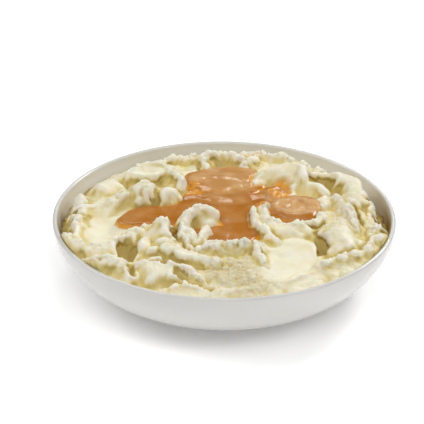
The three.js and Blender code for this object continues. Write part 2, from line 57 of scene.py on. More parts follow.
# ---- sizes, in millimetres; heights of the heap count from the plane of the bowl's rim ----
MM = 0.001
BODY = "root"
_, BOWL_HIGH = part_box("bowl")
BOWL_RADIUS = BOWL_HIGH[0] / MM
BOWL_HEIGHT = BOWL_HIGH[2] / MM
WALL = 3.2  # thickness at the rim
BASE_RADIUS = 57.0
BASE_THICKNESS = 3.0
FOOT_RADIUS = 52.0
FOOT_WIDTH = 5.0
FOOT_HEIGHT = 1.5
FOOT_EASED = 0.8  # how far the foot ring's edges are cut back
CURVE_OUT, CURVE_DOWN = 0.85, 1.2  # how full the wall's curve is, outward and downward
WALL_STEPS, RIM_STEPS = 48, 12  # steps along the wall's curve, and round the rim
WALL_INSIDE = 0.4  # share of the wall's thickness that counts as its inside
RIM_ROUND = WALL / 2
WALL_TOP = BOWL_HEIGHT - RIM_ROUND
INNER_RADIUS = BOWL_RADIUS - WALL
INNER_BASE = BASE_RADIUS - BASE_THICKNESS
INNER_FLOOR = FOOT_HEIGHT + BASE_THICKNESS
RIM_MIDDLE = Vector((0, 0, BOWL_HEIGHT * MM))

GAP = 0.15  # clearance between the heap and the bowl
EDGE_NEAREST = 80.0  # the heap meets the wall further out than this
EDGE_STEPS = 720  # places round the bowl where that edge is looked for
# The plain mound: the height of its middle, how far and how sharply it falls out to its reach,
# how far it drops beyond its shoulder, and how much of that drop its front is spared.
MOUND = {"middle": 0.5, "fall": 3.5, "bend": 2.5, "reach": 108.0, "shoulder": 88.0,
         "edge_drop": 9.0, "front_kept": 0.6}
DROP = 10.0  # widths of folds and knobs are measured where they have fallen by this much
CREST_ROUND = 0.4  # radius that takes the edge off a crest
TORN_LEAST, TORN_MORE = 0.25, 0.9  # how torn crests are everywhere, and how much more in patches

# Layers of waves: height or share, size across, and seed.
MOUND_WAVES = [(1.4, 34, 3)]  # over the plain mound
WIDTH_WAVES = [(0.3, 11, 16), (0.25, 5, 17)]  # in the widths of folds
CREST_WAVES = [(1.2, 8, 13), (0.9, 4.5, 14)]  # along crests
PATCH_WAVES = [(1.2, 15, 75)]  # where crests are torn
TORN_WAVES = [(0.8, 2.7, 12)]  # on torn crests
ROUGH_WAVES = [(0.4, 24, 77)]  # where the mash is rough
GRAIN_WAVES = [(0.6, 9, 21)]  # on rough mash
RIPPLE_WAVES = [(0.25, 10, 51)]  # on all gravy
CHOP_WAVES = [(0.5, 5, 52), (0.4, 3, 53)]  # on choppy gravy
TEETH = 4, 15  # size across and seed of the teeth on torn crests
# Layers of round lumps: height, size across, seed, and how high a dome stands at the mean.
MOUND_LUMPS, TORN_LUMPS, GRAIN_LUMPS = (2.6, 13, 61, 0.4), (0.4, 7, 11, 0.5), (0.6, 5, 22, 0.5)
# How far waves push things sideways in plan: wide waves, fine waves, and the seed.
SHAPES_STRAY, LUMPS_STRAY, POOLS_STRAY = (2.0, 1.3, 1), (2.5, 1.2, 71), (2.5, 1.0, 31)
WIDE_WAVE, FINE_WAVE = 13, 5  # the sizes of those waves

# Crumbs on broken mash: size across, height as a share, how much of it is round lumps on rough
# mash, where the rest is shards on torn crests, and the seed.
CRUMBS = [(9.0, 0.9, 0.7, 41), (5.0, 1.1, 0.6, 42), (3.0, 1.3, 0.6, 43), (1.9, 1.2, 0.7, 44)]
# In shares of a crumb's size: how far and how widely crumbs are warped, and the shards' size.
WARP, WARP_SIZE, SHARD_SIZE = 0.3, 1.5, 0.8
SHARD_TOP, SHARD_FALL = 0.6, 1.8  # how high a shard's edge stands, and how fast it falls
LUMP_MEAN = 0.35  # how high a round crumb stands at the mean
# How mash that stands high bulges outward: how far round a point its height is compared, the
# difference at which it bulges in full, the least share, and how far it goes.
SWELL = {"reach": 5.0, "full": 4.0, "least": -0.4, "out": 0.5}
GRID_STEP = 1.0  # of the grid on which the finished heap is measured
OPEN_HEIGHT = -5.0  # height of a cell of that grid which holds no point
RAISED_REACH = 2.2  # how far round a point the mash is compared for the painted light on its crests and the painted shade in its dips
STAIN_RISE = 0.9  # how far over the gravy the mash is stained by it

GRAVY_FROM, GRAVY_TO = (-85, -65), (80, 75)  # corners of the grid that the gravy is cut from
GRAVY_SUNK = 1.0  # how far under the mash the gravy's sheet ends
GRAVY_DIVE = 2  # how many times faster than a pool's surface it goes down there
GRAVY_BACK = 0.4  # how far its back lies under the mash, or under its top where that is lower


# ---- small maths ----
def ease(value):
    """From 0 at 0 to 1 at 1, smooth between them and level outside."""
    value = np.clip(value, 0, 1)
    return value * value * (3 - 2 * value)


def higher(a, b, rounding):
    """The higher of two heights, with the corner between them rounded off."""
    near = np.maximum(rounding - np.abs(a - b), 0) / rounding
    return np.maximum(a, b) + near * near * rounding / 4


def lower(a, b, rounding):
    """The lower of two heights, rounded off in the same way."""
    return -higher(-a, -b, rounding)


def corner_value(cells, seed):
    """A repeatable number from -1 to 1 for each cell of a lattice."""
    mix = sum(cell * factor for cell, factor in zip(cells, (127.1, 311.7, 269.5)))
    swing = np.sin(mix + seed * 74.7) * 43758.5453
    return (swing - np.floor(swing)) * 2 - 1


def wave(x, y, size, seed):
    """Smooth seeded waves from -1 to 1, about size across."""
    gx, gy = x / size + 17.3 * seed, y / size - 9.1 * seed
    ix, iy = np.floor(gx), np.floor(gy)
    fx, fy = (f * f * f * (f * (f * 6 - 15) + 10) for f in (gx - ix, gy - iy))
    near = corner_value((ix, iy), seed) * (1 - fx) + corner_value((ix + 1, iy), seed) * fx
    far = corner_value((ix, iy + 1), seed) * (1 - fx) + corner_value((ix + 1, iy + 1), seed) * fx
    return near * (1 - fy) + far * fy


def waves(x, y, layers, start=0.0):
    """Layers of waves, added to what is there."""
    return sum((part * wave(x, y, size, seed) for part, size, seed in layers), start)


def lumps(points, size, seed):
    """Smooth seeded noise from -1 to 1 in space, about size across."""
    grid = (points / size + 7.7 * seed).T
    cell = np.floor(grid)
    part = ease(grid - cell)
    total = 0.0
    for steps in itertools.product((0, 1), repeat=3):
        share = math.prod(abs(1 - step - side) for step, side in zip(steps, part))
        corner = [side + step for step, side in zip(steps, cell)]
        total = total + share * corner_value(corner, seed)
    return total


def round_lumps(grid, seed, seed_step, stray, fall):
    """A round lump near the middle of each cell of a lattice: 1 on top, and falling away with
    the distance squared. Each side of the lattice has a seed of its own."""
    cell = [np.floor(side) for side in grid]
    nearest = np.full_like(grid[0], 9.0)
    for steps in itertools.product((-1, 0, 1), repeat=len(grid)):
        corner = [side + step for side, step in zip(cell, steps)]
        away = 0.0
        for axis, side in enumerate(grid):
            aside = stray * corner_value(corner, seed + seed_step * axis)
            away = away + (side - corner[axis] - 0.5 - aside) ** 2
        nearest = np.minimum(nearest, away)
    return 1 - fall * nearest


def domes(x, y, size, seed):
    """Seeded round lumps in plan, about size across."""
    grid = x / size + 5.3 * seed, y / size - 3.7 * seed
    return round_lumps(grid, seed, seed_step=0.37, stray=0.42, fall=1.4)


def nodules(points, size, seed):
    """Seeded round lumps in space, about size across."""
    grid = (points / size + 3.1 * seed).T
    return round_lumps(grid, seed, seed_step=0.31, stray=0.4, fall=1.3)


def lumpy(x, y, height, size, seed, mean):
    """A layer of domes in plan that rises and falls about their mean."""
    return height * (domes(x, y, size, seed) - mean)


def in_ellipse(x, y, at, radii, turn):
    """Place in an ellipse turned by some degrees: 1 is its edge."""
    c, s = math.cos(math.radians(turn)), math.sin(math.radians(turn))
    u = ((x - at[0]) * c + (y - at[1]) * s) / radii[0]
    v = ((y - at[1]) * c - (x - at[0]) * s) / radii[1]
    return u * u + v * v


def spots(x, y, places, start=0.0):
    """Soft round spots, each with its place, radii and strength, added to what is there."""
    return sum((part * np.exp(-in_ellipse(x, y, at, radii, 0)) for at, radii, part in places),
               start)


def by_arc(x, y, start, end, bulge):
    """Where points lie by an arc that bulges to the left of the walk from start to end:
    how far along, how far off, and whether on the outer side."""
    (x0, y0), (x1, y1) = start, end
    chord = math.hypot(x1 - x0, y1 - y0)
    radius = (chord * chord / 4 + bulge * bulge) / (2 * bulge)
    cx = (x0 + x1) / 2 - (y1 - y0) / chord * (bulge - radius)
    cy = (y0 + y1) / 2 + (x1 - x0) / chord * (bulge - radius)
    radius = abs(radius)
    half = math.atan2(chord / 2, radius - abs(bulge))
    sweep = -2 * math.copysign(half, bulge)
    middle = math.atan2(y0 - cy, x0 - cx) + sweep / 2
    turned = np.arctan2(y - cy, x - cx) - middle
    turned = np.arctan2(np.sin(turned), np.cos(turned))
    along = np.clip(turned / sweep + 0.5, 0, 1)
    angle = middle + sweep * (along - 0.5)
    off = np.hypot(x - cx - radius * np.cos(angle), y - cy - radius * np.sin(angle))
    return along, off, np.hypot(x - cx, y - cy) > radius


# ---- what the serving spoon left ----
class Fold:
    """A ridge along an arc, with a height at its start, middle and end, and the widths of its
    two sides. The flatter, the blunter it is; the more torn, the more ragged its crest."""

    rounding = 1.0  # of the corner where it meets what it lies on
    least_uneven = 0.3  # share of the unevenness in its widths that it has where it isn't torn
    torn_reach = 5.0  # how far from its crest it is ragged
    crumbly_reach, crumbly_drop = 3.5, 2.5  # how far from its crest, and below it, it crumbles

    def __init__(self, start, end, bulge, heights, inner, outer, flat=1.4, torn=1.0):
        self.start, self.end, self.bulge = start, end, bulge
        self.heights, self.inner, self.outer = heights, inner, outer
        self.flat, self.torn = flat, torn

    def crest(self, t):
        """Its height along the arc: a curve through the three heights."""
        a, b, c = self.heights
        return a * (1 - t) * (1 - 2 * t) + 4 * b * t * (1 - t) + c * t * (2 * t - 1)

    def apply(self, heap):
        t, off, outside = by_arc(heap.wx, heap.wy, self.start, self.end, self.bulge)
        blunt = np.hypot(off, CREST_ROUND) - CREST_ROUND
        part = min(self.least_uneven + (1 - self.least_uneven) * self.torn, 1)
        uneven = 1 + (heap.uneven - 1) * part
        share = blunt / (uneven * np.where(outside, self.outer, self.inner))
        torn = self.torn * heap.ragged * np.exp(-(off / self.torn_reach) ** 2)
        top = self.crest(t) + torn
        heap.height = higher(heap.height, top - DROP * share ** self.flat, self.rounding)
        shown = np.exp(-((heap.height - top) / self.crumbly_drop) ** 2)
        near = np.exp(-(off / self.crumbly_reach) ** 2)
        heap.crest = np.maximum(heap.crest, self.torn * shown * near)


class Crease(Fold):
    """A dark cleft between two lumps, with a floor at its start, middle and end."""

    rounding = 0.8  # of its two edges
    ragged = 0.5  # share of the raggedness of crests that it has

    def __init__(self, start, end, bulge, floors, width):
        super().__init__(start, end, bulge, floors, width, width, flat=1.5)

    def apply(self, heap):
        t, off, _ = by_arc(heap.wx, heap.wy, self.start, self.end, self.bulge)
        cut = self.crest(t) + self.ragged * heap.ragged + DROP * (off / self.outer) ** self.flat
        heap.height = lower(heap.height, cut, self.rounding)


class Knob:
    """A round or long lump; the flatter, the more it is a plateau with steep sides."""

    ragged, ragged_grain = 0.2, 0.5  # raggedness of a smooth one, and what full grain adds
    grain_reach = 1.2  # how far it sets the grain, in its ellipse's own measure

    def __init__(self, at, radii, top, turn=0.0, flat=2.0, rounding=2.0, grain=0.5):
        self.at, self.radii, self.top, self.turn = at, radii, top, turn
        self.flat, self.rounding, self.grain = flat, rounding, grain

    def apply(self, heap):
        across = in_ellipse(heap.wx, heap.wy, self.at, self.radii, self.turn)
        torn = (self.ragged + self.ragged_grain * self.grain) * heap.ragged
        lump = self.top + torn - DROP * across ** (self.flat / 2)
        heap.height = higher(heap.height, lump, self.rounding)
        here = np.exp(-(across / self.grain_reach) ** 2)
        heap.rough = heap.rough + (self.grain - heap.rough) * here


class Scoop:
    """A smooth dish cut by the spoon: the height of its floor, how far its outline stands over
    that, and how it tilts towards the back."""

    rounding = 1.2  # of its edge
    smoothing, smooth_reach = 0.85, 0.8  # roughness that it takes off, and how far out

    def __init__(self, at, radii, floor, deep, turn=0.0, tilt=0.0, smooth=1.0):
        self.at, self.radii, self.floor, self.deep = at, radii, floor, deep
        self.turn, self.tilt, self.smooth = turn, tilt, smooth

    def apply(self, heap):
        across = in_ellipse(heap.wx, heap.wy, self.at, self.radii, self.turn)
        cut = self.floor + self.deep * across + self.tilt * (heap.wy - self.at[1])
        heap.height = lower(heap.height, cut, self.rounding)
        near = np.exp(-(across / self.smooth_reach) ** 2)
        kept = 1 - self.smoothing * self.smooth * near
        heap.rough = heap.rough * kept
        heap.crest = heap.crest * kept


# Laid on or cut into what is there, in this order.
SHAPES = {
    "back right edge": Fold((14, 88), (81, 46), 8, (2, 3.5, 0), 12, 6, torn=1.3),
    "back left edge": Fold((-64, 67), (4, 87), 6, (0, 1.5, 1), 12, 6, torn=1.6),
    "back left row": Fold((-46, 70), (-17, 74), 3, (3.5, 5, 4.5), 8, 7, torn=1.5),
    "left back facet": Knob((-80, 32), (14, 13), 6, flat=3, grain=0.2),
    "slab": Knob((-51, 46), (20, 13), 10, turn=5, flat=6, grain=0.2),
    "slab's rim": Fold((-66, 42), (-35, 38), 12, (8.5, 12, 11), 6, 7, torn=0.6),
    "slab's basin": Scoop((-53, 43), (12, 6), 8, 3, turn=5),
    "slab lobe": Fold((-35, 40), (-32, 25), 2, (10.5, 10, 7), 8, 6, flat=1.6, torn=1.3),
    "back arch": Fold((-13, 58), (12, 62), 16, (5, 9, 6), 6, 10),
    "arch's knob": Knob((18, 69), (9, 9), 8, grain=0.8),
    "hump under the gravy": Knob((-20, 31), (8, 6), 5.5, grain=0.1),
    "back arch hollow": Scoop((-1, 64), (8, 10), 0, 6),
    "shoulder": Knob((39, 44), (14, 15), 8, grain=0.1),
    "shoulder's crest": Fold((22, 36), (46, 10), 26, (6, 15.5, 6.5), 15, 8, flat=1.3, torn=0.2),
    "shoulder's foot": Knob((34, 14), (8, 17), 7, turn=-15, grain=0.6),
    "loop": Fold((51, 37), (83, -2), 22, (8, 11.5, 7.5), 9, 10, flat=2.4, torn=0.3),
    "loop hollow": Scoop((68, 34), (8, 11), -3, 8, turn=-20),
    "tongue": Fold((47, 24), (68, 8), 10, (8, 10, 7), 8, 6, flat=2, torn=0.2),
    "tongue hollow": Scoop((55, 16), (9, 9), 2, 5, turn=-40),
    "left lump, back": Knob((-97, 14), (7, 9), 3, grain=1),
    "left lump, front": Knob((-99, -10), (6, 8), 1.5, grain=1),
    "left knob": Knob((-55, 14), (13, 10), 13.5, flat=2.4, grain=0.9),
    "right knob": Knob((-38, 12), (9, 9), 11, flat=2.4, grain=0.3),
    "scoop's top lip": Fold((-94, -3), (-66, 11), -3, (6.5, 8, 9.5), 8, 5, torn=1.3),
    "scoop's low lip": Fold((-98, -14), (-60, -41), -27, (3.5, 4.5, 6.5), 9, 15, torn=1.4),
    "left scoop": Scoop((-81, -22), (19, 27), -4.5, 9, turn=4),
    "peak": Fold((-66, -41), (-36, -38), 2, (2.5, 8.5, 15.5), 20, 7, flat=1.5, torn=1.4),
    "column": Knob((-50, -54), (9, 12), 7.5, flat=2, grain=0.2),
    "lower column": Knob((-44, -63), (7, 8), 7, flat=2.4, grain=0.2),
    "hollow's left lip": Fold((-80, -72), (-58, -84), 4, (4, 5, 2), 12, 14, torn=1.4),
    "deep hollow": Scoop((-62, -60), (7, 14), -9, 12, smooth=0.5),
    "roll": Fold((-36, -63), (-8, -74), -2, (8, 7.5, 5), 10, 8, flat=2, torn=0.3),
    "front lobe": Knob((-41, -84), (13, 11), 4.5, turn=-15, flat=3, grain=0.2),
    "lobe's crest": Fold((-53, -79), (-31, -83), 5, (3.5, 6.5, 4), 6, 8, torn=1.2),
    "diagonal": Fold((-43, -76), (-9, -102), 3, (5.5, 5.5, -1), 14, 10, torn=1.2),
    "front bulge": Knob((14, -78), (27, 22), 1, rounding=4, grain=1.4),
    "right slope's body": Knob((46, -62), (26, 34), 5, flat=2.5, rounding=4, grain=0.2),
    "right slope": Scoop((44, -69), (24, 33), -1.5, 5, tilt=0.13),
    "curl": Fold((-8, -18), (-19, -60), -17, (12.5, 13, 6.5), 7, 5, torn=1.1),
    "spur": Fold((-11, -38), (-21, -54), 1, (9, 8, 6), 3, 3.5, torn=0.5),
    "front crest": Fold((-22, -66), (24, -58), 6, (5, 7, 7), 10, 9, torn=1.6),
    "second row": Fold((19, -57), (27, -76), -1, (6.5, 5.5, 1.5), 4, 5, torn=1.2),
    "right lip": Fold((19, -8), (33, -49), -2, (7.5, 8, 6.5), 4.5, 5),
    "cup": Fold((28, -8), (64, -17), -20, (7.5, 8.5, 8.5), 5, 14, torn=1.2),
    "cup's side": Knob((67, 2), (11, 14), 8, flat=2.5),
    "right mass": Knob((82, -14), (17, 32), 6.5, flat=3, rounding=4, grain=0.9),
    "fingers": Fold((75, 3), (85, -38), 4, (10, 10, 6), 12, 5, torn=1.3),
    "right edge lumps": Fold((90, 28), (98, -32), 5, (2, 5, 3), 13, 9, torn=1.8),
    "shelf by the egg": Knob((85, -52), (13, 11), 4.5, flat=3, rounding=4, grain=0.1),
    "egg": Fold((74, -36), (72, -66), 2, (11.5, 10, 1), 13, 13, flat=2, torn=0.1),
    "gap by the egg": Scoop((61, -53), (4, 12), -4, 8, smooth=0.8),
    "front right edge": Fold((63, -73), (102, -36), -4, (2, 3.5, 2), 8, 14, torn=1.2),
    "edge lump 1": Knob((66, -73), (5, 4), 4, flat=2.2, grain=0.7),
    "edge lump 2": Knob((75, -68), (5, 5), 5, flat=2.2, grain=0.7),
    "edge lump 3": Knob((84, -62), (4, 4), 5, flat=2.2, grain=0.7),
    "edge lump 4": Knob((92, -54), (5, 5), 5.5, flat=2.2, grain=0.7),
    "edge lump 5": Knob((100, -43), (4, 6), 5.5, flat=2.2, grain=0.7),
    "spoon's mark": Fold((0, -104), (66, -72), -4, (-1, 0, 0.5), 9, 12, torn=0.3),
    "left of the curl": Crease((-33, -31), (-16, -66), -6, (-1, 2, 2), 5),
    "right of the column": Crease((-41, -65), (-36, -79), 1, (3, 0, 0), 5),
    "left of the lobe": Crease((-55, -66), (-56, -86), -1, (-2, -3, -4), 5),
    "under the lobe": Crease((-53, -91), (-28, -95), -3, (-4, -5, -4), 5),
    "behind the lobe": Crease((-53, -73), (-33, -75), -2, (1, 0, 0), 4),
    "under the roll": Crease((-34, -71), (-13, -80), -1, (0, -1, -1), 5),
    "right of the diagonal": Crease((-29, -88), (-8, -100), -1, (-2, -4, -5), 6),
    "under the slab": Crease((-64, 36), (-38, 34), -2, (1, 2, 2), 6),
    "between the knobs": Crease((-44, 23), (-46, 8), -1, (5, 5, 3), 5),
    "under the facet": Crease((-93, 20), (-68, 22), -2, (-2, 0, 1), 6),
    "by the left wall": Crease((-107, 34), (-106, -28), -5, (-12, -12, -12), 8),
    "right of the fingers": Crease((88, -3), (92, -31), 1, (2, 0, 2), 4),
    "by the right wall": Crease((99, 44), (107, -14), 4, (-7, -11, -10), 8),
    "under the tongue": Crease((60, 20), (76, 16), -4, (3, 1, 2), 5),
    "between cup and egg": Crease((66, -22), (58, -33), 2, (4, 2, 0), 5),
    "inside the front edge": Crease((68, -68), (100, -33), -4, (0, 1, 0), 4),
    "by the back wall": Crease((-60, 80), (-14, 94), 3, (-6, -6, -6), 7),
    "left of the arch": Crease((-19, 68), (-12, 54), -2, (0, 0, 2), 6),
    "right of the arch": Crease((13, 62), (25, 74), -4, (4, 2, 1), 6),
}

# Pools of gravy, as overlapping ellipses: place, half axes, turn, and the surface's height.
POOLS = [
    ((1, 38), (29, 23), 0, 4.5),
    ((-43, -8), (30, 14), 22, 2.0),
    ((4, -24), (25, 30), 0, 2.5),
    ((-34, -23), (5, 22), -5, 2.5),
    ((0, 8), (34, 14), 0, 3.2),
    ((32, 14), (11, 15), 0, 5.0),
    ((47, -6), (19, 19), 0, 7.5),
]
# In a pool's own measure, 1 in the middle and 0 at the outline: how far pools melt together, the
# band to each side of the outline where the mash dips, and the band where the surface curves.
POOLS_MELT, SHORE, POOL_CURVE = 0.35, 0.25, 0.35
POOL_FALL = 12.0  # how fast the surface goes down outside the outline
LEVEL_SHARP, LEVEL_REACH = 2.5, -4.0  # how sharply levels change between pools, and out to where
DROWNED = 0.9  # share of its roughness that mash loses under gravy
DRY_RISE = 4.0  # height over the bed of the pool from which mash keeps its roughness

# Where a skin of gravy lies over raised mash, as ellipses: place, half axes and turn.
FILMS = [
    ((-20, 31), (9, 7), 0),
    ((34, 14), (11, 22), -15),
    ((19, 51), (9, 4), 10),
    ((51, -20), (2.5, 6), 0),
    ((-22, 18), (8, 5), 0),
]
FILM_DEPTH, FILM_RISE = 0.9, 3.0  # how deep such a skin is, and how fast it gets there
# Where a pale painted sheen lies on the gravy, standing in for the reflection of bright light
# behind: place, half axes and share.
SHEEN_SPOTS = [((1, 46), (34, 30), 0.85), ((50, -6), (22, 15), 1.0), ((34, 6), (8, 14), 0.5),
           ((2, 12), (30, 10), 0.25)]
SHEEN_EDGE = 1.6  # how sharply it ends
# Where the gravy's surface is choppy: place, half axes and share.
CHOPPY = [((34, 12), (10, 16), 1.0), ((50, -7), (16, 11), 1.3)]
# Painted shade, tinted brown like warm light reflected from the mash, low on the bowl's inner
# wall: the side, place along it, reach and share.
PAINTED_WALL_SHADES = [(1, -6, 30, 1.0), (-1, 2, 30, 0.35)]
WALL_SHADE_TOP, WALL_SHADE_FADE = 2.0, 5.5  # how far under the rim it starts, and how far it fades in
# Where the painted shade in the mash's hollows is stronger or weaker than its depth gives: place,
# half axes and change.
PAINTED_SHADE_SPOTS = [
    ((-14, -38), (17, 17), -0.2),
    ((63, -51), (6, 15), 0.26),
    ((80, -14), (8, 20), -0.1),
    ((97, 4), (6, 22), 0.14),
    ((106, 0), (5, 26), 0.35),
]
# Folds in the gravy itself: start, end, bulge, height and width.
RUCKS = [
    ((-30, 17), (30, 15), -3, 1.3, 5),
    ((-26, 26), (28, 25), -3, -0.7, 3),
    ((-12, 44), (16, 36), 4, 0.8, 4),
    ((-20, 2), (24, 4), -6, 1.0, 5),
    ((36, 4), (62, -4), 3, 1.6, 4),
    ((38, -16), (60, -14), -4, 1.0, 3),
    ((30, 8), (33, -12), 2, 1.0, 3),
]


def wander(x, y, wide, fine, seed):
    """Points moved sideways by soft waves, so that no arc or ellipse runs true."""
    return (x + wide * wave(x, y, WIDE_WAVE, seed) + fine * wave(x, y, FINE_WAVE, seed + 1),
            y + wide * wave(x, y, WIDE_WAVE, seed + 4) + fine * wave(x, y, FINE_WAVE, seed + 5))


class Heap:
    """The heap at a list of places in plan: the height of the mash and of the gravy's surface,
    how rough the mash is, and how near it is to a torn crest."""

    def __init__(self, x, y, depth):
        inside, level = self.pooled(x, y)
        under = ease((inside + SHORE) / (2 * SHORE))
        bed_height = self.mound(x, y) * (1 - under) + (level - depth) * under
        self.wx, self.wy = wander(x, y, *SHAPES_STRAY)
        self.uneven = waves(x, y, WIDTH_WAVES, 1)
        lx, ly = wander(x, y, *LUMPS_STRAY)
        self.height = bed_height + (1 - under) * lumpy(lx, ly, *MOUND_LUMPS)
        patchy = TORN_LEAST + TORN_MORE * ease(waves(x, y, PATCH_WAVES, 0.5))
        teeth = 0.5 - np.abs(wave(x, y, *TEETH))
        torn = waves(x, y, TORN_WAVES, lumpy(lx, ly, *TORN_LUMPS) + teeth)
        self.ragged = waves(x, y, CREST_WAVES) + patchy * torn
        self.rough = waves(x, y, ROUGH_WAVES, 0.5)
        self.crest = np.zeros_like(x)
        for shape in SHAPES.values():
            shape.apply(self)
        dry = ease((self.height - bed_height) / DRY_RISE)
        self.rough = self.rough * (1 - DROWNED * under * (1 - dry))
        grain = waves(x, y, GRAIN_WAVES) + lumpy(lx, ly, *GRAIN_LUMPS)
        self.height = self.height + self.rough * grain
        self.gravy = bed_height + self.pool_depth(inside, depth)
        for at, radii, turn in FILMS:
            within = 1 - in_ellipse(self.wx, self.wy, at, radii, turn)
            film = np.minimum(FILM_DEPTH, FILM_RISE * within)
            self.gravy = np.maximum(self.gravy, self.height + film)

    @staticmethod
    def mound(x, y):
        """The height of the plain mound, before any shape."""
        radius = np.hypot(x, y)
        to_front = np.clip(-y / MOUND["reach"], 0, 1)
        at_wall = (radius - MOUND["shoulder"]) / (MOUND["reach"] - MOUND["shoulder"])
        edge = MOUND["edge_drop"] * np.clip(at_wall, 0, 1) ** 2
        edge = edge * (1 - MOUND["front_kept"] * to_front)
        dome = MOUND["middle"] - MOUND["fall"] * (radius / MOUND["reach"]) ** MOUND["bend"]
        return waves(x, y, MOUND_WAVES, dome - edge)

    @staticmethod
    def pooled(x, y):
        """How far inside the gravy places are, and how high it stands there."""
        wx, wy = wander(x, y, *POOLS_STRAY)
        inside = np.full_like(x, -9.0)
        weights = levels = 0.0
        for at, radii, turn, level in POOLS:
            within = 1 - in_ellipse(wx, wy, at, radii, turn)
            weight = np.exp(LEVEL_SHARP * np.maximum(within, LEVEL_REACH))
            inside = higher(inside, within, POOLS_MELT)
            weights = weights + weight
            levels = levels + weight * level
        return inside, levels / weights

    @staticmethod
    def pool_depth(inside, depth):
        """The gravy's depth over its bed: rounded at the outline, below zero outside it."""
        out = 1 - np.clip(inside / POOL_CURVE, 0, 1)
        return np.where(inside > 0, depth * np.sqrt(1 - out * out), inside * POOL_FALL)


# ---- the bowl's wall ----
def wall_point(turn, rim_radius, base_radius, base_height):
    """The curve from the rim, at turn 0, down to the base, at turn 1."""
    angle = turn * math.pi / 2
    radius = base_radius + (rim_radius - base_radius) * max(math.cos(angle), 0) ** CURVE_OUT
    return radius, WALL_TOP - (WALL_TOP - base_height) * math.sin(angle) ** CURVE_DOWN


def inner_wall(radius):
    """Height of the inside wall over the rim's plane, at a distance from the middle."""
    across = np.clip((radius - INNER_BASE) / (INNER_RADIUS - INNER_BASE), 0, 1)
    cosine = across ** (1 / CURVE_OUT)
    fall = (1 - cosine * cosine) ** (CURVE_DOWN / 2)
    return WALL_TOP - BOWL_HEIGHT - (WALL_TOP - INNER_FLOOR) * fall


def bowl_inside(height):
    """A radius between the wall's inside and outside, at a height over the table."""
    down = np.clip((WALL_TOP - height) / (WALL_TOP - INNER_FLOOR), 0, 1) ** (2 / CURVE_DOWN)
    across = np.sqrt(1 - down) ** CURVE_OUT
    return INNER_BASE + (INNER_RADIUS - INNER_BASE) * across + WALL_INSIDE * WALL


def bed(radius):
    """The heap's underside, just clear of the inside wall."""
    return inner_wall(radius + GAP) + GAP


# ---- meshes ----
def add_object(name, data):
    """An object with some data, in the scene."""
    thing = bpy.data.objects.new(name, data)
    bpy.context.scene.collection.objects.link(thing)
    return thing


def add_piece(name, points, faces, slot, material, *nodes):
    """A smooth mesh piece, from points in millimetres, that stands for CAD nodes."""
    mesh = bpy.data.meshes.new(name)
    mesh.from_pydata((np.asarray(points) * MM).tolist(), [], faces)
    mesh.polygons.foreach_set("use_smooth", [True] * len(mesh.polygons))
    mesh.update()
    mesh.materials.append(material)
    piece = add_object(name, mesh)
    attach(piece, BODY)
    if nodes:
        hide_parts(*nodes)
    return piece


def add_layer(piece, name, values):
    """One number for each point of a piece, for its material to read."""
    layer = piece.data.attributes.new(name, "FLOAT", "POINT")
    layer.data.foreach_set("value", np.asarray(values, np.float32))


def turn_profile(profile, segments):
    """Points and faces of a closed body turned about the axis; the profile's ends lie on it."""
    angles = np.arange(segments) * 2 * math.pi / segments
    middle = np.array(profile[1:-1])
    rings = len(middle)
    points = [(0, 0, profile[0][1]), (0, 0, profile[-1][1])]
    for angle in angles:
        points += [(r * math.cos(angle), r * math.sin(angle), z) for r, z in middle]
    faces = []
    for i in range(segments):
        a, b = 2 + i * rings, 2 + (i + 1) % segments * rings
        faces.append((0, b, a))
        faces += [(a + j, b + j, b + j + 1, a + j + 1) for j in range(rings - 1)]
        faces.append((a + rings - 1, b + rings - 1, 1))
    return points, faces


def bridge(inner, outer):
    """Triangles between two rings, always stepping along the ring that lags behind."""
    steps = len(inner) if len(inner) > 1 else 0
    faces = []
    i = j = 0
    while i < steps or j < len(outer):
        a, b = inner[i % len(inner)], outer[j % len(outer)]
        if i == steps or (j < len(outer) and (j + 1) * steps <= (i + 1) * len(outer)):
            j += 1
            faces.append((a, b, outer[j % len(outer)]))
        else:
            i += 1
            faces.append((a, b, inner[i % len(inner)]))
    return faces


def ring_grid(rings):
    """A disc of rings, each with six points more than the last: every point's share of the
    reach and angle, the faces, and the points of the outermost ring."""
    share, angle, faces = [0.0], [0.0], []
    inner = [0]
    for k in range(1, rings + 1):
        outer = list(range(len(share), len(share) + 6 * k))
        share += [k / rings] * (6 * k)
        angle += [2 * math.pi * i / (6 * k) for i in range(6 * k)]
        faces += bridge(inner, outer)
        inner = outer
    return np.array(share), np.array(angle), faces, inner


def edge_radius(angle, depth, halvings=22):
    """Where the heap's surface meets the bowl's wall, at each angle."""
    near = np.full_like(angle, EDGE_NEAREST)
    far = np.full_like(angle, INNER_RADIUS - GAP)
    for _ in range(halvings):
        middle = (near + far) / 2
        heap = Heap(middle * np.cos(angle), middle * np.sin(angle), depth)
        above = heap.height > bed(middle)
        near = np.where(above, middle, near)
        far = np.where(above, far, middle)
    return near


def crowd_cliffs(x, y, faces, fixed, depth, rounds=10, shortest=0.05, most_pull=4, step=0.8):
    """Slides points in plan towards steep places, so that a cliff gets as many as a flat. The
    heights are looked up anew in every second round."""
    sides = np.array(faces)
    pairs = np.concatenate([sides[:, [0, 1]], sides[:, [1, 2]], sides[:, [2, 0]]])
    a, b = pairs[:, 0], pairs[:, 1]
    count = len(x)
    for turn in range(rounds):
        if turn % 2 == 0:
            height = Heap(x, y, depth).height
        flat = np.maximum(np.hypot(x[a] - x[b], y[a] - y[b]), shortest)
        pull = np.clip(np.hypot(flat, height[a] - height[b]) / flat, 1, most_pull)
        total = np.bincount(a, pull, count) + np.bincount(b, pull, count)
        nx = (np.bincount(a, pull * x[b], count) + np.bincount(b, pull * x[a], count)) / total
        ny = (np.bincount(a, pull * y[b], count) + np.bincount(b, pull * y[a], count)) / total
        nx[fixed], ny[fixed] = x[fixed], y[fixed]
        x, y = x + step * (nx - x), y + step * (ny - y)
    return x, y


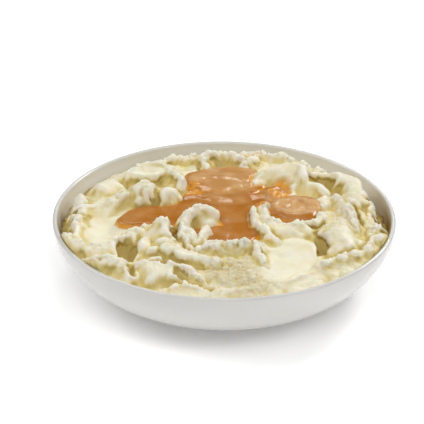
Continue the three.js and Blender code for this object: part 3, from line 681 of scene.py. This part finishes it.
def point_normals(points, faces):
    """Outward direction at each point, from the faces round it."""
    corners = np.array(faces)
    a, b, c = (points[corners[:, k]] for k in range(3))
    across = np.cross(b - a, c - a)
    total = np.zeros_like(points)
    for k in range(3):
        for axis in range(3):
            total[:, axis] += np.bincount(corners[:, k], across[:, axis], len(points))
    return total / np.maximum(np.linalg.norm(total, axis=1), 1e-9)[:, None]


def smoothed(values, faces, rounds):
    """Values at points, evened out with their neighbours'."""
    corners = np.array(faces)
    a = corners.ravel()
    b = corners[:, [1, 2, 0]].ravel()
    count = len(values)
    near = np.bincount(a, minlength=count) + np.bincount(b, minlength=count)
    for _ in range(rounds):
        total = np.bincount(a, values[b], count) + np.bincount(b, values[a], count)
        values = 0.5 * values + 0.5 * total / near
    return values


def on_grid(points):
    """Points gathered on a square grid over the bowl: the column and row of each, and how many
    points each cell holds and the sum of their heights."""
    size = int(2 * BOWL_RADIUS / GRID_STEP) + 1
    cell = np.rint((points[:, :2] + BOWL_RADIUS) / GRID_STEP).astype(int)
    col, row = np.clip(cell, 0, size - 1).T
    place = row * size + col
    count = np.bincount(place, minlength=size * size).astype(float)
    height = np.bincount(place, points[:, 2], size * size)
    return col, row, count.reshape(size, size), height.reshape(size, size)


def sunk(points, reach):
    """How far each point lies under the mean height round it."""
    col, row, count, height = on_grid(points)
    width = int(3 * reach / GRID_STEP)
    kernel = np.exp(-((np.arange(-width, width + 1) * GRID_STEP / reach) ** 2) / 2)
    blur = lambda line: np.convolve(line, kernel, "same")
    for axis in (0, 1):
        count = np.apply_along_axis(blur, axis, count)
        height = np.apply_along_axis(blur, axis, height)
    return (height / np.maximum(count, 1e-6))[row, col] - points[:, 2]


def sky_seen(points, directions=12, reaches=(1.5, 3, 5, 8, 12, 18)):
    """How much of the sky each point sees, from 1 in the open to 0 in a deep crevice."""
    col, row, count, height = on_grid(points)
    height = np.where(count > 0, height / np.maximum(count, 1), OPEN_HEIGHT)
    last = len(height) - 1
    seen = np.zeros(len(points))
    for turn in range(directions):
        angle = 2 * math.pi * turn / directions
        horizon = np.zeros(len(points))
        for reach in reaches:
            there = (np.clip(row + round(reach * math.sin(angle)), 0, last),
                     np.clip(col + round(reach * math.cos(angle)), 0, last))
            horizon = np.maximum(horizon, (height[there] - points[:, 2]) / reach)
        seen += 1 / (1 + horizon * horizon)
    return seen / directions


# ---- shader maths ----
class Value:
    """A shader socket. Arithmetic on it adds the Math nodes that work it out."""

    def __init__(self, finish, socket):
        self.finish, self.socket = finish, socket

    def math(self, operation, *inputs):
        return self.finish.node("Math", {"operation": operation}, dict(enumerate(inputs)))

    def __add__(self, other):
        return self.math("ADD", self, other)

    def __rsub__(self, other):
        return self.math("SUBTRACT", other, self)

    def __mul__(self, other):
        return self.math("MULTIPLY", self, other)

    __radd__, __rmul__ = __add__, __mul__

    def within(self, low, high):
        """0 at low, 1 at high, smooth between them."""
        return self.finish.node(
            "MapRange", {"interpolation_type": "SMOOTHSTEP"},
            {"Value": self, "From Min": low, "From Max": high})


class Finish:
    """A material under construction, with one principled shader."""

    def __init__(self, name, **uniform):
        self.material = bpy.data.materials.new(name)
        self.material.use_nodes = True
        self.tree = self.material.node_tree
        self.shader = self.tree.nodes["Principled BSDF"]
        for socket, value in uniform.items():
            self.shader.inputs[socket.replace("_", " ")].default_value = value

    def node(self, kind, settings=None, inputs=None, output=0):
        """Adds a node: its settings first, then the values or links of its sockets."""
        node = self.tree.nodes.new("ShaderNode" + kind)
        for name, setting in (settings or {}).items():
            setattr(node, name, setting)
        for name, value in (inputs or {}).items():
            self.feed(node.inputs[name], value)
        return Value(self, node.outputs[output])

    def feed(self, socket, value):
        """Links a value to a socket, or sets the socket to a colour, a number or a choice."""
        if isinstance(value, Value):
            self.tree.links.new(value.socket, socket)
        else:
            socket.default_value = (*value, 1) if socket.type == "RGBA" else value

    def layer(self, name):
        """The number that a piece's points carry under a name."""
        return self.node("Attribute", {"attribute_name": name}, output="Fac")

    def place(self):
        return self.node("TexCoord", output="Object")

    def noise(self, size, detail=2.0, roughness=0.5):
        """Noise from 0 to 1 with features about size millimetres across."""
        inputs = {"Vector": self.place(), "Scale": 1 / (size * MM),
                  "Detail": detail, "Roughness": roughness}
        return self.node("TexNoise", {"normalize": True}, inputs, "Fac")

    def blend(self, share, a, b, blend_type="MIX"):
        """One colour turning into another as share goes from 0 to 1."""
        node = self.tree.nodes.new("ShaderNodeMix")
        node.data_type, node.blend_type = "RGBA", blend_type
        for socket, value in ((node.inputs[0], share), (node.inputs[6], a), (node.inputs[7], b)):
            self.feed(socket, value)
        return Value(self, node.outputs[2])

    def bump(self, height, distance, strength=1.0):
        """The normal over fine relief, whose full height is some millimetres."""
        inputs = {"Height": height, "Distance": distance * MM, "Strength": strength}
        return self.node("Bump", None, inputs)

    def set(self, **varying):
        """Feeds what varies to the shader, and gives the finished material."""
        for socket, value in varying.items():
            self.feed(self.shader.inputs[socket.replace("_", " ")], value)
        return self.material


# ---- settings ----
def colour(name, description, default):
    """A colour that a user can set."""
    return FloatVectorProperty(name=name, description=description, default=default,
                               subtype="COLOR", size=3, min=0, max=1)


class BowlSettings(bpy.types.PropertyGroup):
    segments: IntProperty(name="Segments", description="Steps round the bowl", default=256)
    glaze: colour("Glaze", "Colour of the glazed bowl", (0.725, 0.71, 0.675))
    # painted shade: a dark brown standing in for shade and the mash's warm reflection low on the
    # inner wall
    painted_wall_shade: colour("Painted wall shade", "Colour of the gravy smeared on its inner wall", (0.30, 0.17, 0.05))
    gloss: FloatProperty(name="Roughness", description="Roughness of the glaze",
                         default=0.18, min=0, max=1, subtype="FACTOR")


class MashSettings(bpy.types.PropertyGroup):
    rings: IntProperty(name="Rings", description="Rings of points over the heap", default=175)
    crumb: FloatProperty(name="Crumb", description="Height of the crumbs on broken mash",
                         default=1.0 * MM, unit="LENGTH", precision=4)
    cream: colour("Cream", "Colour of the mash where it lies open", (0.89, 0.86, 0.71))
    # the mash's own buttery tone in patches, also used as painted shade in hollows and low places
    butter_and_shade: colour("Butter and shade", "Colour of the mash in patches and low places", (0.77, 0.635, 0.26))
    # painted shade: the dark colour put deep in hollows and crevices where little sky is seen
    painted_crevice_shade: colour("Crevice shade", "Colour of the mash deep in a hollow", (0.34, 0.21, 0.015))
    # painted light: the paler colour put on crests that stand over the mash round them
    painted_crest_light: colour("Crest light", "Colour of the mash on torn crests", (0.96, 0.94, 0.84))
    # painted shade: the dark colour in a grain pattern on rough mash, for the shadows between its
    # crumbs
    grain_shade: colour("Grain shade", "Colour of the grain in rough mash", (0.70, 0.59, 0.32))
    # painted shade: the darker colour put on the roughest mash
    rough_shade: colour("Rough shade", "Colour of the roughest mash", (0.62, 0.53, 0.31))
    stain: colour("Stain", "Colour of the mash where gravy soaked in", (0.66, 0.36, 0.08))


class GravySettings(bpy.types.PropertyGroup):
    depth: FloatProperty(name="Depth", description="Depth of the gravy in its pools",
                         default=3.0 * MM, unit="LENGTH", precision=4)
    lip: FloatProperty(name="Lip", description="How far the gravy bulges at its outline",
                       default=0.7 * MM, unit="LENGTH", precision=4)
    step: FloatProperty(name="Step", description="Size of the gravy's mesh",
                        default=0.7 * MM, unit="LENGTH", precision=4)
    brown: colour("Brown", "Colour of deep gravy", (0.44, 0.155, 0.015))
    amber: colour("Amber", "Colour of thin gravy", (0.80, 0.37, 0.04))
    # painted sheen: the pale colour standing in for bright light reflected by the gravy
    painted_sheen: colour("Painted sheen", "Colour of gravy with mash stirred in", (0.71, 0.44, 0.20))


# Soft lamps: place and size in metres, and power in watts.
LIGHTS = {
    "front light": ((0.0, -0.9, 0.6), 0.6, 1.3),
    "high front light": ((0.0, -0.5, 1.0), 0.5, 2.4),
    "front right light": ((0.65, -0.5, 0.85), 0.5, 3.0),
    "left light": ((-0.9, 0.1, 0.7), 0.5, 3.6),
    "high left light": ((-0.5, -0.1, 1.0), 0.4, 1.6),
    "back right light": ((0.65, 0.65, 0.7), 0.3, 5.8),
    "back light": ((-0.15, 0.75, 0.85), 0.2, 1.0),
    "glint light": ((0.13, 0.86, 0.5), 0.07, 0.35),
}
FLOOR_HALF = 3.0  # half the floor's width, in metres
FLOOR_PAINTED_SHADOW = 0.08, 0.14  # the painted shadow that dims the floor's glow round the bowl ends between these, in metres
SENSOR = 36  # width of the camera's sensor, in millimetres
FRAME_WIDTH = 424  # pixels
BOWL_ASIDE = 12.3  # pixels from the frame's middle to the bowl's, to the right
CAMERA_ROLL = 0.5  # degrees


class StageSettings(bpy.types.PropertyGroup):
    distance: FloatProperty(name="Distance", description="From the camera to the bowl's rim",
                            default=1.0, unit="LENGTH")
    elevation: FloatProperty(name="Elevation", description="How far the camera looks down",
                             default=math.radians(27.4), subtype="ANGLE")
    lens: FloatProperty(name="Lens", description="Focal length in millimetres", default=126.3)
    sky: FloatProperty(name="Sky", description="Strength of the even light", default=0.02)
    light: FloatProperty(name="Light", description="Share of the lamps' full power", default=1.0)
    floor: colour("Floor", "Colour of the floor", (0.9, 0.9, 0.9))
    glow: FloatProperty(name="Glow", description="Strength of the floor's own light", default=0.38)
    # painted shadow: the colour of the floor's glow next to the bowl
    shade: colour("Shade", "Colour of the floor's own light next to the bowl", (0.4, 0.4, 0.4))


SETTINGS = {"bowl": BowlSettings, "mash": MashSettings, "gravy": GravySettings,
            "stage": StageSettings}


def setting(group):
    """The settings of one operator."""
    return getattr(bpy.context.scene, "mash_side_" + group)


# ---- finishes ----
def porcelain(look):
    """White glaze: almost even, a little waxy where it ran, and darkened brown low on its inside
    by painted shade.
    """
    finish = Finish("porcelain", Specular_IOR_Level=0.5)
    drift = finish.noise(40)
    thin = tuple(0.97 * channel for channel in look.glaze)
    tone = finish.blend(drift, look.glaze, thin)
    return finish.set(
        Base_Color=finish.blend(finish.layer("painted_wall_shade"), tone, look.painted_wall_shade),
        Roughness=look.gloss + 0.06 * finish.noise(9),
        Normal=finish.bump(finish.noise(14), distance=0.05))


def potato(look):
    """Creamy mash, buttery in patches and stained by the gravy it meets. Painted shade turns it
    buttery to olive in hollows and low places and darker where it is rough; painted light makes
    its crests paler.
    """
    finish = Finish("potato", Subsurface_Weight=0.45, Subsurface_Scale=0.0022,
                    Subsurface_Radius=(1, 0.6, 0.25), IOR=1.4, Specular_IOR_Level=0.4)
    patches = finish.noise(11, detail=3).within(0.4, 0.75)
    hollow = finish.layer("hollow")
    rough = finish.layer("rough")
    grain = finish.noise(1.6, detail=3, roughness=0.65)
    tone = finish.blend(0.12 + 0.3 * patches, look.cream, look.butter_and_shade)
    # painted shade: rough mash darkens in a grain pattern, for the shadows between its crumbs
    grain_shade = grain.within(0.35, 0.65)
    tone = finish.blend(grain_shade * rough * 0.5, tone, look.grain_shade)
    # painted shade: the roughest mash is darker
    tone = finish.blend(rough.within(0.5, 1.2) * 0.6, tone, look.rough_shade)
    # painted shade: the mash turns buttery, then olive, where it sees less sky
    tone = finish.blend(hollow.within(0.06, 0.32), tone, look.butter_and_shade)
    tone = finish.blend(hollow.within(0.22, 0.48), tone, look.painted_crevice_shade)
    raised = finish.layer("raised")
    # painted light on crests that stand over the mash round them
    tone = finish.blend(raised.within(0.3, 1.6) * 0.6, tone, look.painted_crest_light)
    # painted shade in places lying under the mash round them
    tone = finish.blend((raised * -1).within(0.15, 1.0) * 0.55, tone, look.butter_and_shade)
    tone = finish.blend(finish.layer("stain") * 0.6, tone, look.stain)
    crumb_size = 3.2 * MM
    crumbs = finish.node("TexVoronoi", {"feature": "SMOOTH_F1"},
                         {"Vector": finish.place(), "Scale": 1 / crumb_size, "Smoothness": 0.3,
                          "Detail": 1.0}, "Distance")
    relief = grain + 0.6 * finish.noise(0.8, detail=2) + 0.8 * (1 - crumbs)
    roughness = 0.38 + 0.22 * rough
    relief = relief * (0.12 + 0.8 * rough + 0.8 * finish.layer("torn"))
    return finish.set(Base_Color=tone, Roughness=roughness,
                      Normal=finish.bump(relief, distance=0.4, strength=0.8))


def sauce(look):
    """Glossy gravy: brown where it is deep, amber where it thins out, and paler in streaks and
    spots of painted sheen."""
    finish = Finish("gravy", Subsurface_Weight=0.25, Subsurface_Scale=0.003,
                    Subsurface_Radius=(1, 0.45, 0.15), IOR=1.4, Specular_IOR_Level=0.4)
    deep = finish.layer("deep")
    streaks = finish.noise(14, detail=4).within(0.35, 0.7)
    tone = finish.blend(deep.within(0.25, 1.0), look.amber, look.brown)
    # painted sheen: paler in spots and streaks, standing in for reflected light
    tone = finish.blend(finish.layer("painted_sheen") * deep * (0.5 + 0.5 * streaks), tone, look.painted_sheen)
    tone = finish.blend(streaks * 0.25, tone, look.painted_sheen)
    return finish.set(
        Base_Color=tone,
        Roughness=0.12 + 0.1 * finish.noise(6),
        Normal=finish.bump(finish.noise(7, detail=3), distance=0.25))


def plain_floor(look):
    """A lit white table whose own glow is a little dimmer round the bowl: a painted shadow."""
    finish = Finish("floor", Emission_Strength=look.glow)
    away = finish.node("VectorMath", {"operation": "LENGTH"}, {0: finish.place()}, "Value")
    # painted shadow: the floor's glow turns to the shade colour near the bowl
    glow = finish.blend(away.within(*FLOOR_PAINTED_SHADOW), look.shade, (1, 1, 1))
    return finish.set(Base_Color=look.floor, Roughness=0.6, Emission_Color=glow)


# ---- operators ----
class MASHSIDE_OT_bowl(bpy.types.Operator):
    """Turn the bowl about its axis, with its rounded rim and foot ring"""
    bl_idname = "mash_side.bowl"
    bl_label = "Bowl"

    def execute(self, context):
        look = setting("bowl")
        points, faces = turn_profile(self.profile(), look.segments)
        piece = add_piece("coupe_bowl", points, faces, "porcelain", porcelain(look), "bowl")
        # the layer of painted shade on the inner wall
        add_layer(piece, "painted_wall_shade", self.painted_wall_shade(*np.array(points).T))
        return {"FINISHED"}

    @staticmethod
    def profile():
        """The bowl's outline in section: under the foot, up the outside, over the rim and in."""
        foot_in = FOOT_RADIUS - FOOT_WIDTH / 2
        foot_out = FOOT_RADIUS + FOOT_WIDTH / 2
        outline = [(0, FOOT_HEIGHT), (foot_in - FOOT_EASED, FOOT_HEIGHT), (foot_in, FOOT_EASED),
                   (foot_in + FOOT_EASED, 0), (foot_out - FOOT_EASED, 0),
                   (foot_out, FOOT_EASED), (foot_out + FOOT_EASED, FOOT_HEIGHT)]
        wall_out = (BOWL_RADIUS, BASE_RADIUS, FOOT_HEIGHT)
        wall_in = (INNER_RADIUS, INNER_BASE, INNER_FLOOR)
        outline += [wall_point(i / WALL_STEPS, *wall_out) for i in range(WALL_STEPS, 0, -1)]
        for i in range(RIM_STEPS + 1):
            angle = math.pi * i / RIM_STEPS
            outline.append((BOWL_RADIUS - RIM_ROUND + RIM_ROUND * math.cos(angle),
                            WALL_TOP + RIM_ROUND * math.sin(angle)))
        outline += [wall_point(i / WALL_STEPS, *wall_in) for i in range(1, WALL_STEPS + 1)]
        return outline + [(0, INNER_FLOOR)]

    @staticmethod
    def painted_wall_shade(x, y, z):
        """How much painted shade darkens the wall: only on its inside, and low under the rim."""
        low = ease((BOWL_HEIGHT - WALL_SHADE_TOP - z) / WALL_SHADE_FADE) * (np.hypot(x, y) < bowl_inside(z))
        side = sum(part * (way * x > 0) * np.exp(-((y - at) / reach) ** 2)
                   for way, at, reach, part in PAINTED_WALL_SHADES)
        return low * side


class MASHSIDE_OT_mash(bpy.types.Operator):
    """Shape the heap of mash, with its folds, scoops and crumbs"""
    bl_idname = "mash_side.mash"
    bl_label = "Mash"

    def execute(self, context):
        look = setting("mash")
        depth = setting("gravy").depth / MM
        share, angle, faces, rim = ring_grid(look.rings)
        around = np.linspace(0, 2 * math.pi, EDGE_STEPS + 1)
        reach = np.interp(angle, around, edge_radius(around, depth)) * share
        x, y = reach * np.cos(angle), reach * np.sin(angle)
        x, y = crowd_cliffs(x, y, faces, rim, depth)
        heap = Heap(x, y, depth)
        radius = np.hypot(x, y)
        points = np.stack([x, y, heap.height], 1)
        points[rim, 2] = bed(radius[rim])
        points = self.swell(points, faces, rim)
        points = self.crumble(points, faces, heap, look.crumb / MM, rim)
        layers = {
            # painted shade: how little sky each point sees, made stronger or weaker in spots
            "hollow": spots(x, y, PAINTED_SHADE_SPOTS, smoothed(1 - sky_seen(points), faces, rounds=4)),
            "rough": heap.rough,
            # painted light and shade: how far each point stands over the mash round it
            "raised": smoothed(-sunk(points, RAISED_REACH), faces, rounds=2),
            "torn": heap.crest,
            "stain": np.clip(1 + (heap.gravy - heap.height) / STAIN_RISE, 0, 1),
        }
        count = len(points)
        points = np.concatenate([points, self.underside(look.rings)])
        faces += self.under_faces(rim, count, look.rings)
        points[:, 2] += BOWL_HEIGHT
        piece = add_piece("mashed_potato", points, faces, "potato", potato(look), "mash")
        for name, values in layers.items():
            add_layer(piece, name, np.concatenate([values, np.zeros(len(points) - count)]))
        return {"FINISHED"}

    @staticmethod
    def swell(points, faces, rim):
        """Lets what stands high bulge outward, so that it overhangs the creases at its foot."""
        outward = point_normals(points, faces)
        outward[:, 2] = 0
        outward[rim] = 0
        high = np.clip(-sunk(points, SWELL["reach"]) / SWELL["full"], SWELL["least"], 1)
        return points + outward * (SWELL["out"] * high)[:, None]

    @staticmethod
    def crumble(points, faces, heap, height, rim):
        """Pushes crumbs and broken edges out of the surface."""
        rough, crest = heap.rough.copy(), heap.crest.copy()
        rough[rim] = crest[rim] = 0
        for size, part, lumpiness, seed in CRUMBS:
            outward = point_normals(points, faces)
            warped = points + WARP * size * lumps(points, WARP_SIZE * size, seed + 5)[:, None]
            shard = SHARD_TOP - SHARD_FALL * np.abs(lumps(warped, SHARD_SIZE * size, seed + 9))
            lump = nodules(warped, size, seed) - LUMP_MEAN
            push = lumpiness * rough * lump + (1 - lumpiness) * crest * shard
            points = points + outward * (height * part * push)[:, None]
        return points

    @staticmethod
    def under_rings(rings):
        """Radius and number of points of each ring under the heap, from its edge inward."""
        return [(98, 3 * rings), (86, rings), (72, 60), (56, 36), (36, 18), (0, 1)]

    def underside(self, rings):
        """Points of the heap's underside, just clear of the bowl."""
        rows = []
        for radius, count in self.under_rings(rings):
            angle = 2 * math.pi * np.arange(count) / count
            rows.append(np.stack([radius * np.cos(angle), radius * np.sin(angle),
                                  np.full(count, bed(float(radius)))], 1))
        return np.concatenate(rows)

    def under_faces(self, rim, first, rings):
        """Faces from the heap's edge to its underside, whose points start at number first."""
        faces = []
        outer = list(rim)
        for _, count in self.under_rings(rings):
            inner = list(range(first, first + count))
            faces += [(a, c, b) for a, b, c in bridge(inner, outer)]
            outer = inner
            first += count
        return faces


class MASHSIDE_OT_gravy(bpy.types.Operator):
    """Pour the gravy into the hollows, as one sheet with a rounded lip"""
    bl_idname = "mash_side.gravy"
    bl_label = "Gravy"

    def execute(self, context):
        look = setting("gravy")
        depth, lip, step = look.depth / MM, look.lip / MM, look.step / MM
        across, along = (np.arange(first, last, step) for first, last in zip(GRAVY_FROM, GRAVY_TO))
        x, y = (side.ravel() for side in np.meshgrid(across, along))
        heap = Heap(x, y, depth)
        over = heap.gravy - heap.height
        over = over + self.ripples(x, y, heap) * np.clip(over, 0, 1)
        lipped = over + lip * (1 - np.exp(-over / lip))
        top = heap.height + np.where(over > 0, lipped, GRAVY_DIVE * over)
        quads, used = self.wet_cells(over > -GRAVY_SUNK, len(across))
        back = np.minimum(top, heap.height) - GRAVY_BACK
        upper = np.stack([x, y, top + BOWL_HEIGHT], 1)[used]
        under = np.stack([x, y, back + BOWL_HEIGHT], 1)[used]
        faces = quads.tolist() + (quads[:, ::-1] + len(used)).tolist()
        faces += self.skirt(quads, len(used))
        piece = add_piece("gravy_pool", np.concatenate([upper, under]), faces, "gravy",
                          sauce(look), "gravy")
        # the depth of the gravy, and the share of its painted sheen
        layers = {"deep": over / depth, "painted_sheen": self.sheen_share(x, y)}
        for name, values in layers.items():
            values = np.clip(values[used], 0, 1)
            add_layer(piece, name, np.concatenate([values, values]))
        return {"FINISHED"}

    @staticmethod
    def ripples(x, y, heap):
        """The gravy's own relief: soft ripples, chop and folds."""
        relief = waves(x, y, RIPPLE_WAVES) + spots(x, y, CHOPPY) * waves(x, y, CHOP_WAVES)
        for start, end, bulge, height, width in RUCKS:
            _, off, _ = by_arc(heap.wx, heap.wy, start, end, bulge)
            relief = relief + height * np.exp(-(off / width) ** 2)
        return relief

    @staticmethod
    def sheen_share(x, y):
        """How strong the painted sheen on the gravy is."""
        return sum(part * ease(SHEEN_EDGE - SHEEN_EDGE * in_ellipse(x, y, at, radii, 0))
                   for at, radii, part in SHEEN_SPOTS)

    @staticmethod
    def wet_cells(wet, row):
        """Cells of a grid, row points wide, with four wet corners, and the points they use."""
        corner = np.flatnonzero(wet & (np.arange(len(wet)) % row < row - 1))
        corner = corner[corner + row + 1 < len(wet)]
        corner = corner[wet[corner + 1] & wet[corner + row] & wet[corner + row + 1]]
        quads = np.stack([corner, corner + 1, corner + row + 1, corner + row], 1)
        used, order = np.unique(quads, return_inverse=True)
        return order.reshape(-1, 4), used

    @staticmethod
    def skirt(quads, under):
        """Faces that close the sheet round its outline."""
        sides = {}
        for quad in quads.tolist():
            for a, b in zip(quad, quad[1:] + quad[:1]):
                if sides.pop((b, a), None) is None:
                    sides[a, b] = True
        return [(b, a, a + under, b + under) for a, b in sides]


class MASHSIDE_OT_stage(bpy.types.Operator):
    """Set the floor, the soft light and the camera"""
    bl_idname = "mash_side.stage"
    bl_label = "Stage"

    def execute(self, context):
        look = setting("stage")
        scene = context.scene
        floor = bpy.data.meshes.new("floor")
        corners = [(-1, -1), (1, -1), (1, 1), (-1, 1)]
        floor.from_pydata([(x * FLOOR_HALF, y * FLOOR_HALF, 0) for x, y in corners], [],
                          [(0, 1, 2, 3)])
        floor.materials.append(plain_floor(look))
        plane = add_object("floor", floor)
        for name, (place, size, power) in LIGHTS.items():
            self.add_light(name, place, size, power * look.light)
        world = bpy.data.worlds.new("studio")
        world.use_nodes = True
        sky = world.node_tree.nodes["Background"]
        sky.inputs["Color"].default_value = (1, 1, 1, 1)
        sky.inputs["Strength"].default_value = look.sky
        scene.world = world
        scene.view_settings.view_transform = "Standard"
        camera = bpy.data.cameras.new("camera")
        camera.lens = look.lens
        camera.sensor_width = SENSOR
        camera.shift_x = -BOWL_ASIDE / FRAME_WIDTH
        eye = add_object("camera", camera)
        back = Vector((0, -math.cos(look.elevation), math.sin(look.elevation)))
        eye.location = RIM_MIDDLE + back * look.distance
        roll = Matrix.Rotation(math.radians(CAMERA_ROLL), 3, "Z")
        eye.rotation_euler = ((-back).to_track_quat("-Z", "Y").to_matrix() @ roll).to_euler()
        scene.camera = eye
        return {"FINISHED"}

    @staticmethod
    def add_light(name, place, size, power):
        """A soft lamp that is aimed at the middle of the bowl's rim."""
        light = bpy.data.lights.new(name, "AREA")
        light.energy, light.size = power, size
        lamp = add_object(name, light)
        lamp.location = place
        aim = RIM_MIDDLE - Vector(place)
        lamp.rotation_euler = aim.to_track_quat("-Z", "Y").to_euler()


OPERATORS = [MASHSIDE_OT_stage, MASHSIDE_OT_bowl, MASHSIDE_OT_mash, MASHSIDE_OT_gravy]


class MASHSIDE_PT_panel(bpy.types.Panel):
    """Everything that builds the bowl of mash, with its sizes and colours"""
    bl_idname = "MASHSIDE_PT_panel"
    bl_label = "Mashed Potato Side"
    bl_space_type = "VIEW_3D"
    bl_region_type = "UI"
    bl_category = "Mash"

    def draw(self, context):
        for operator in OPERATORS:
            box = self.layout.box()
            box.operator(operator.bl_idname)
            group = operator.bl_idname.split(".")[1]
            for name in SETTINGS[group].__annotations__:
                box.prop(setting(group), name)


CLASSES = [*SETTINGS.values(), *OPERATORS, MASHSIDE_PT_panel]


def register():
    for cls in CLASSES:
        bpy.utils.register_class(cls)
    for group, cls in SETTINGS.items():
        setattr(bpy.types.Scene, "mash_side_" + group, PointerProperty(type=cls))


def unregister():
    for group in SETTINGS:
        delattr(bpy.types.Scene, "mash_side_" + group)
    for cls in reversed(CLASSES):
        bpy.utils.unregister_class(cls)


def main():
    register()
    bpy.ops.mash_side.stage()
    bpy.ops.mash_side.bowl()
    bpy.ops.mash_side.mash()
    bpy.ops.mash_side.gravy()


if __name__ == "__main__":
    main()
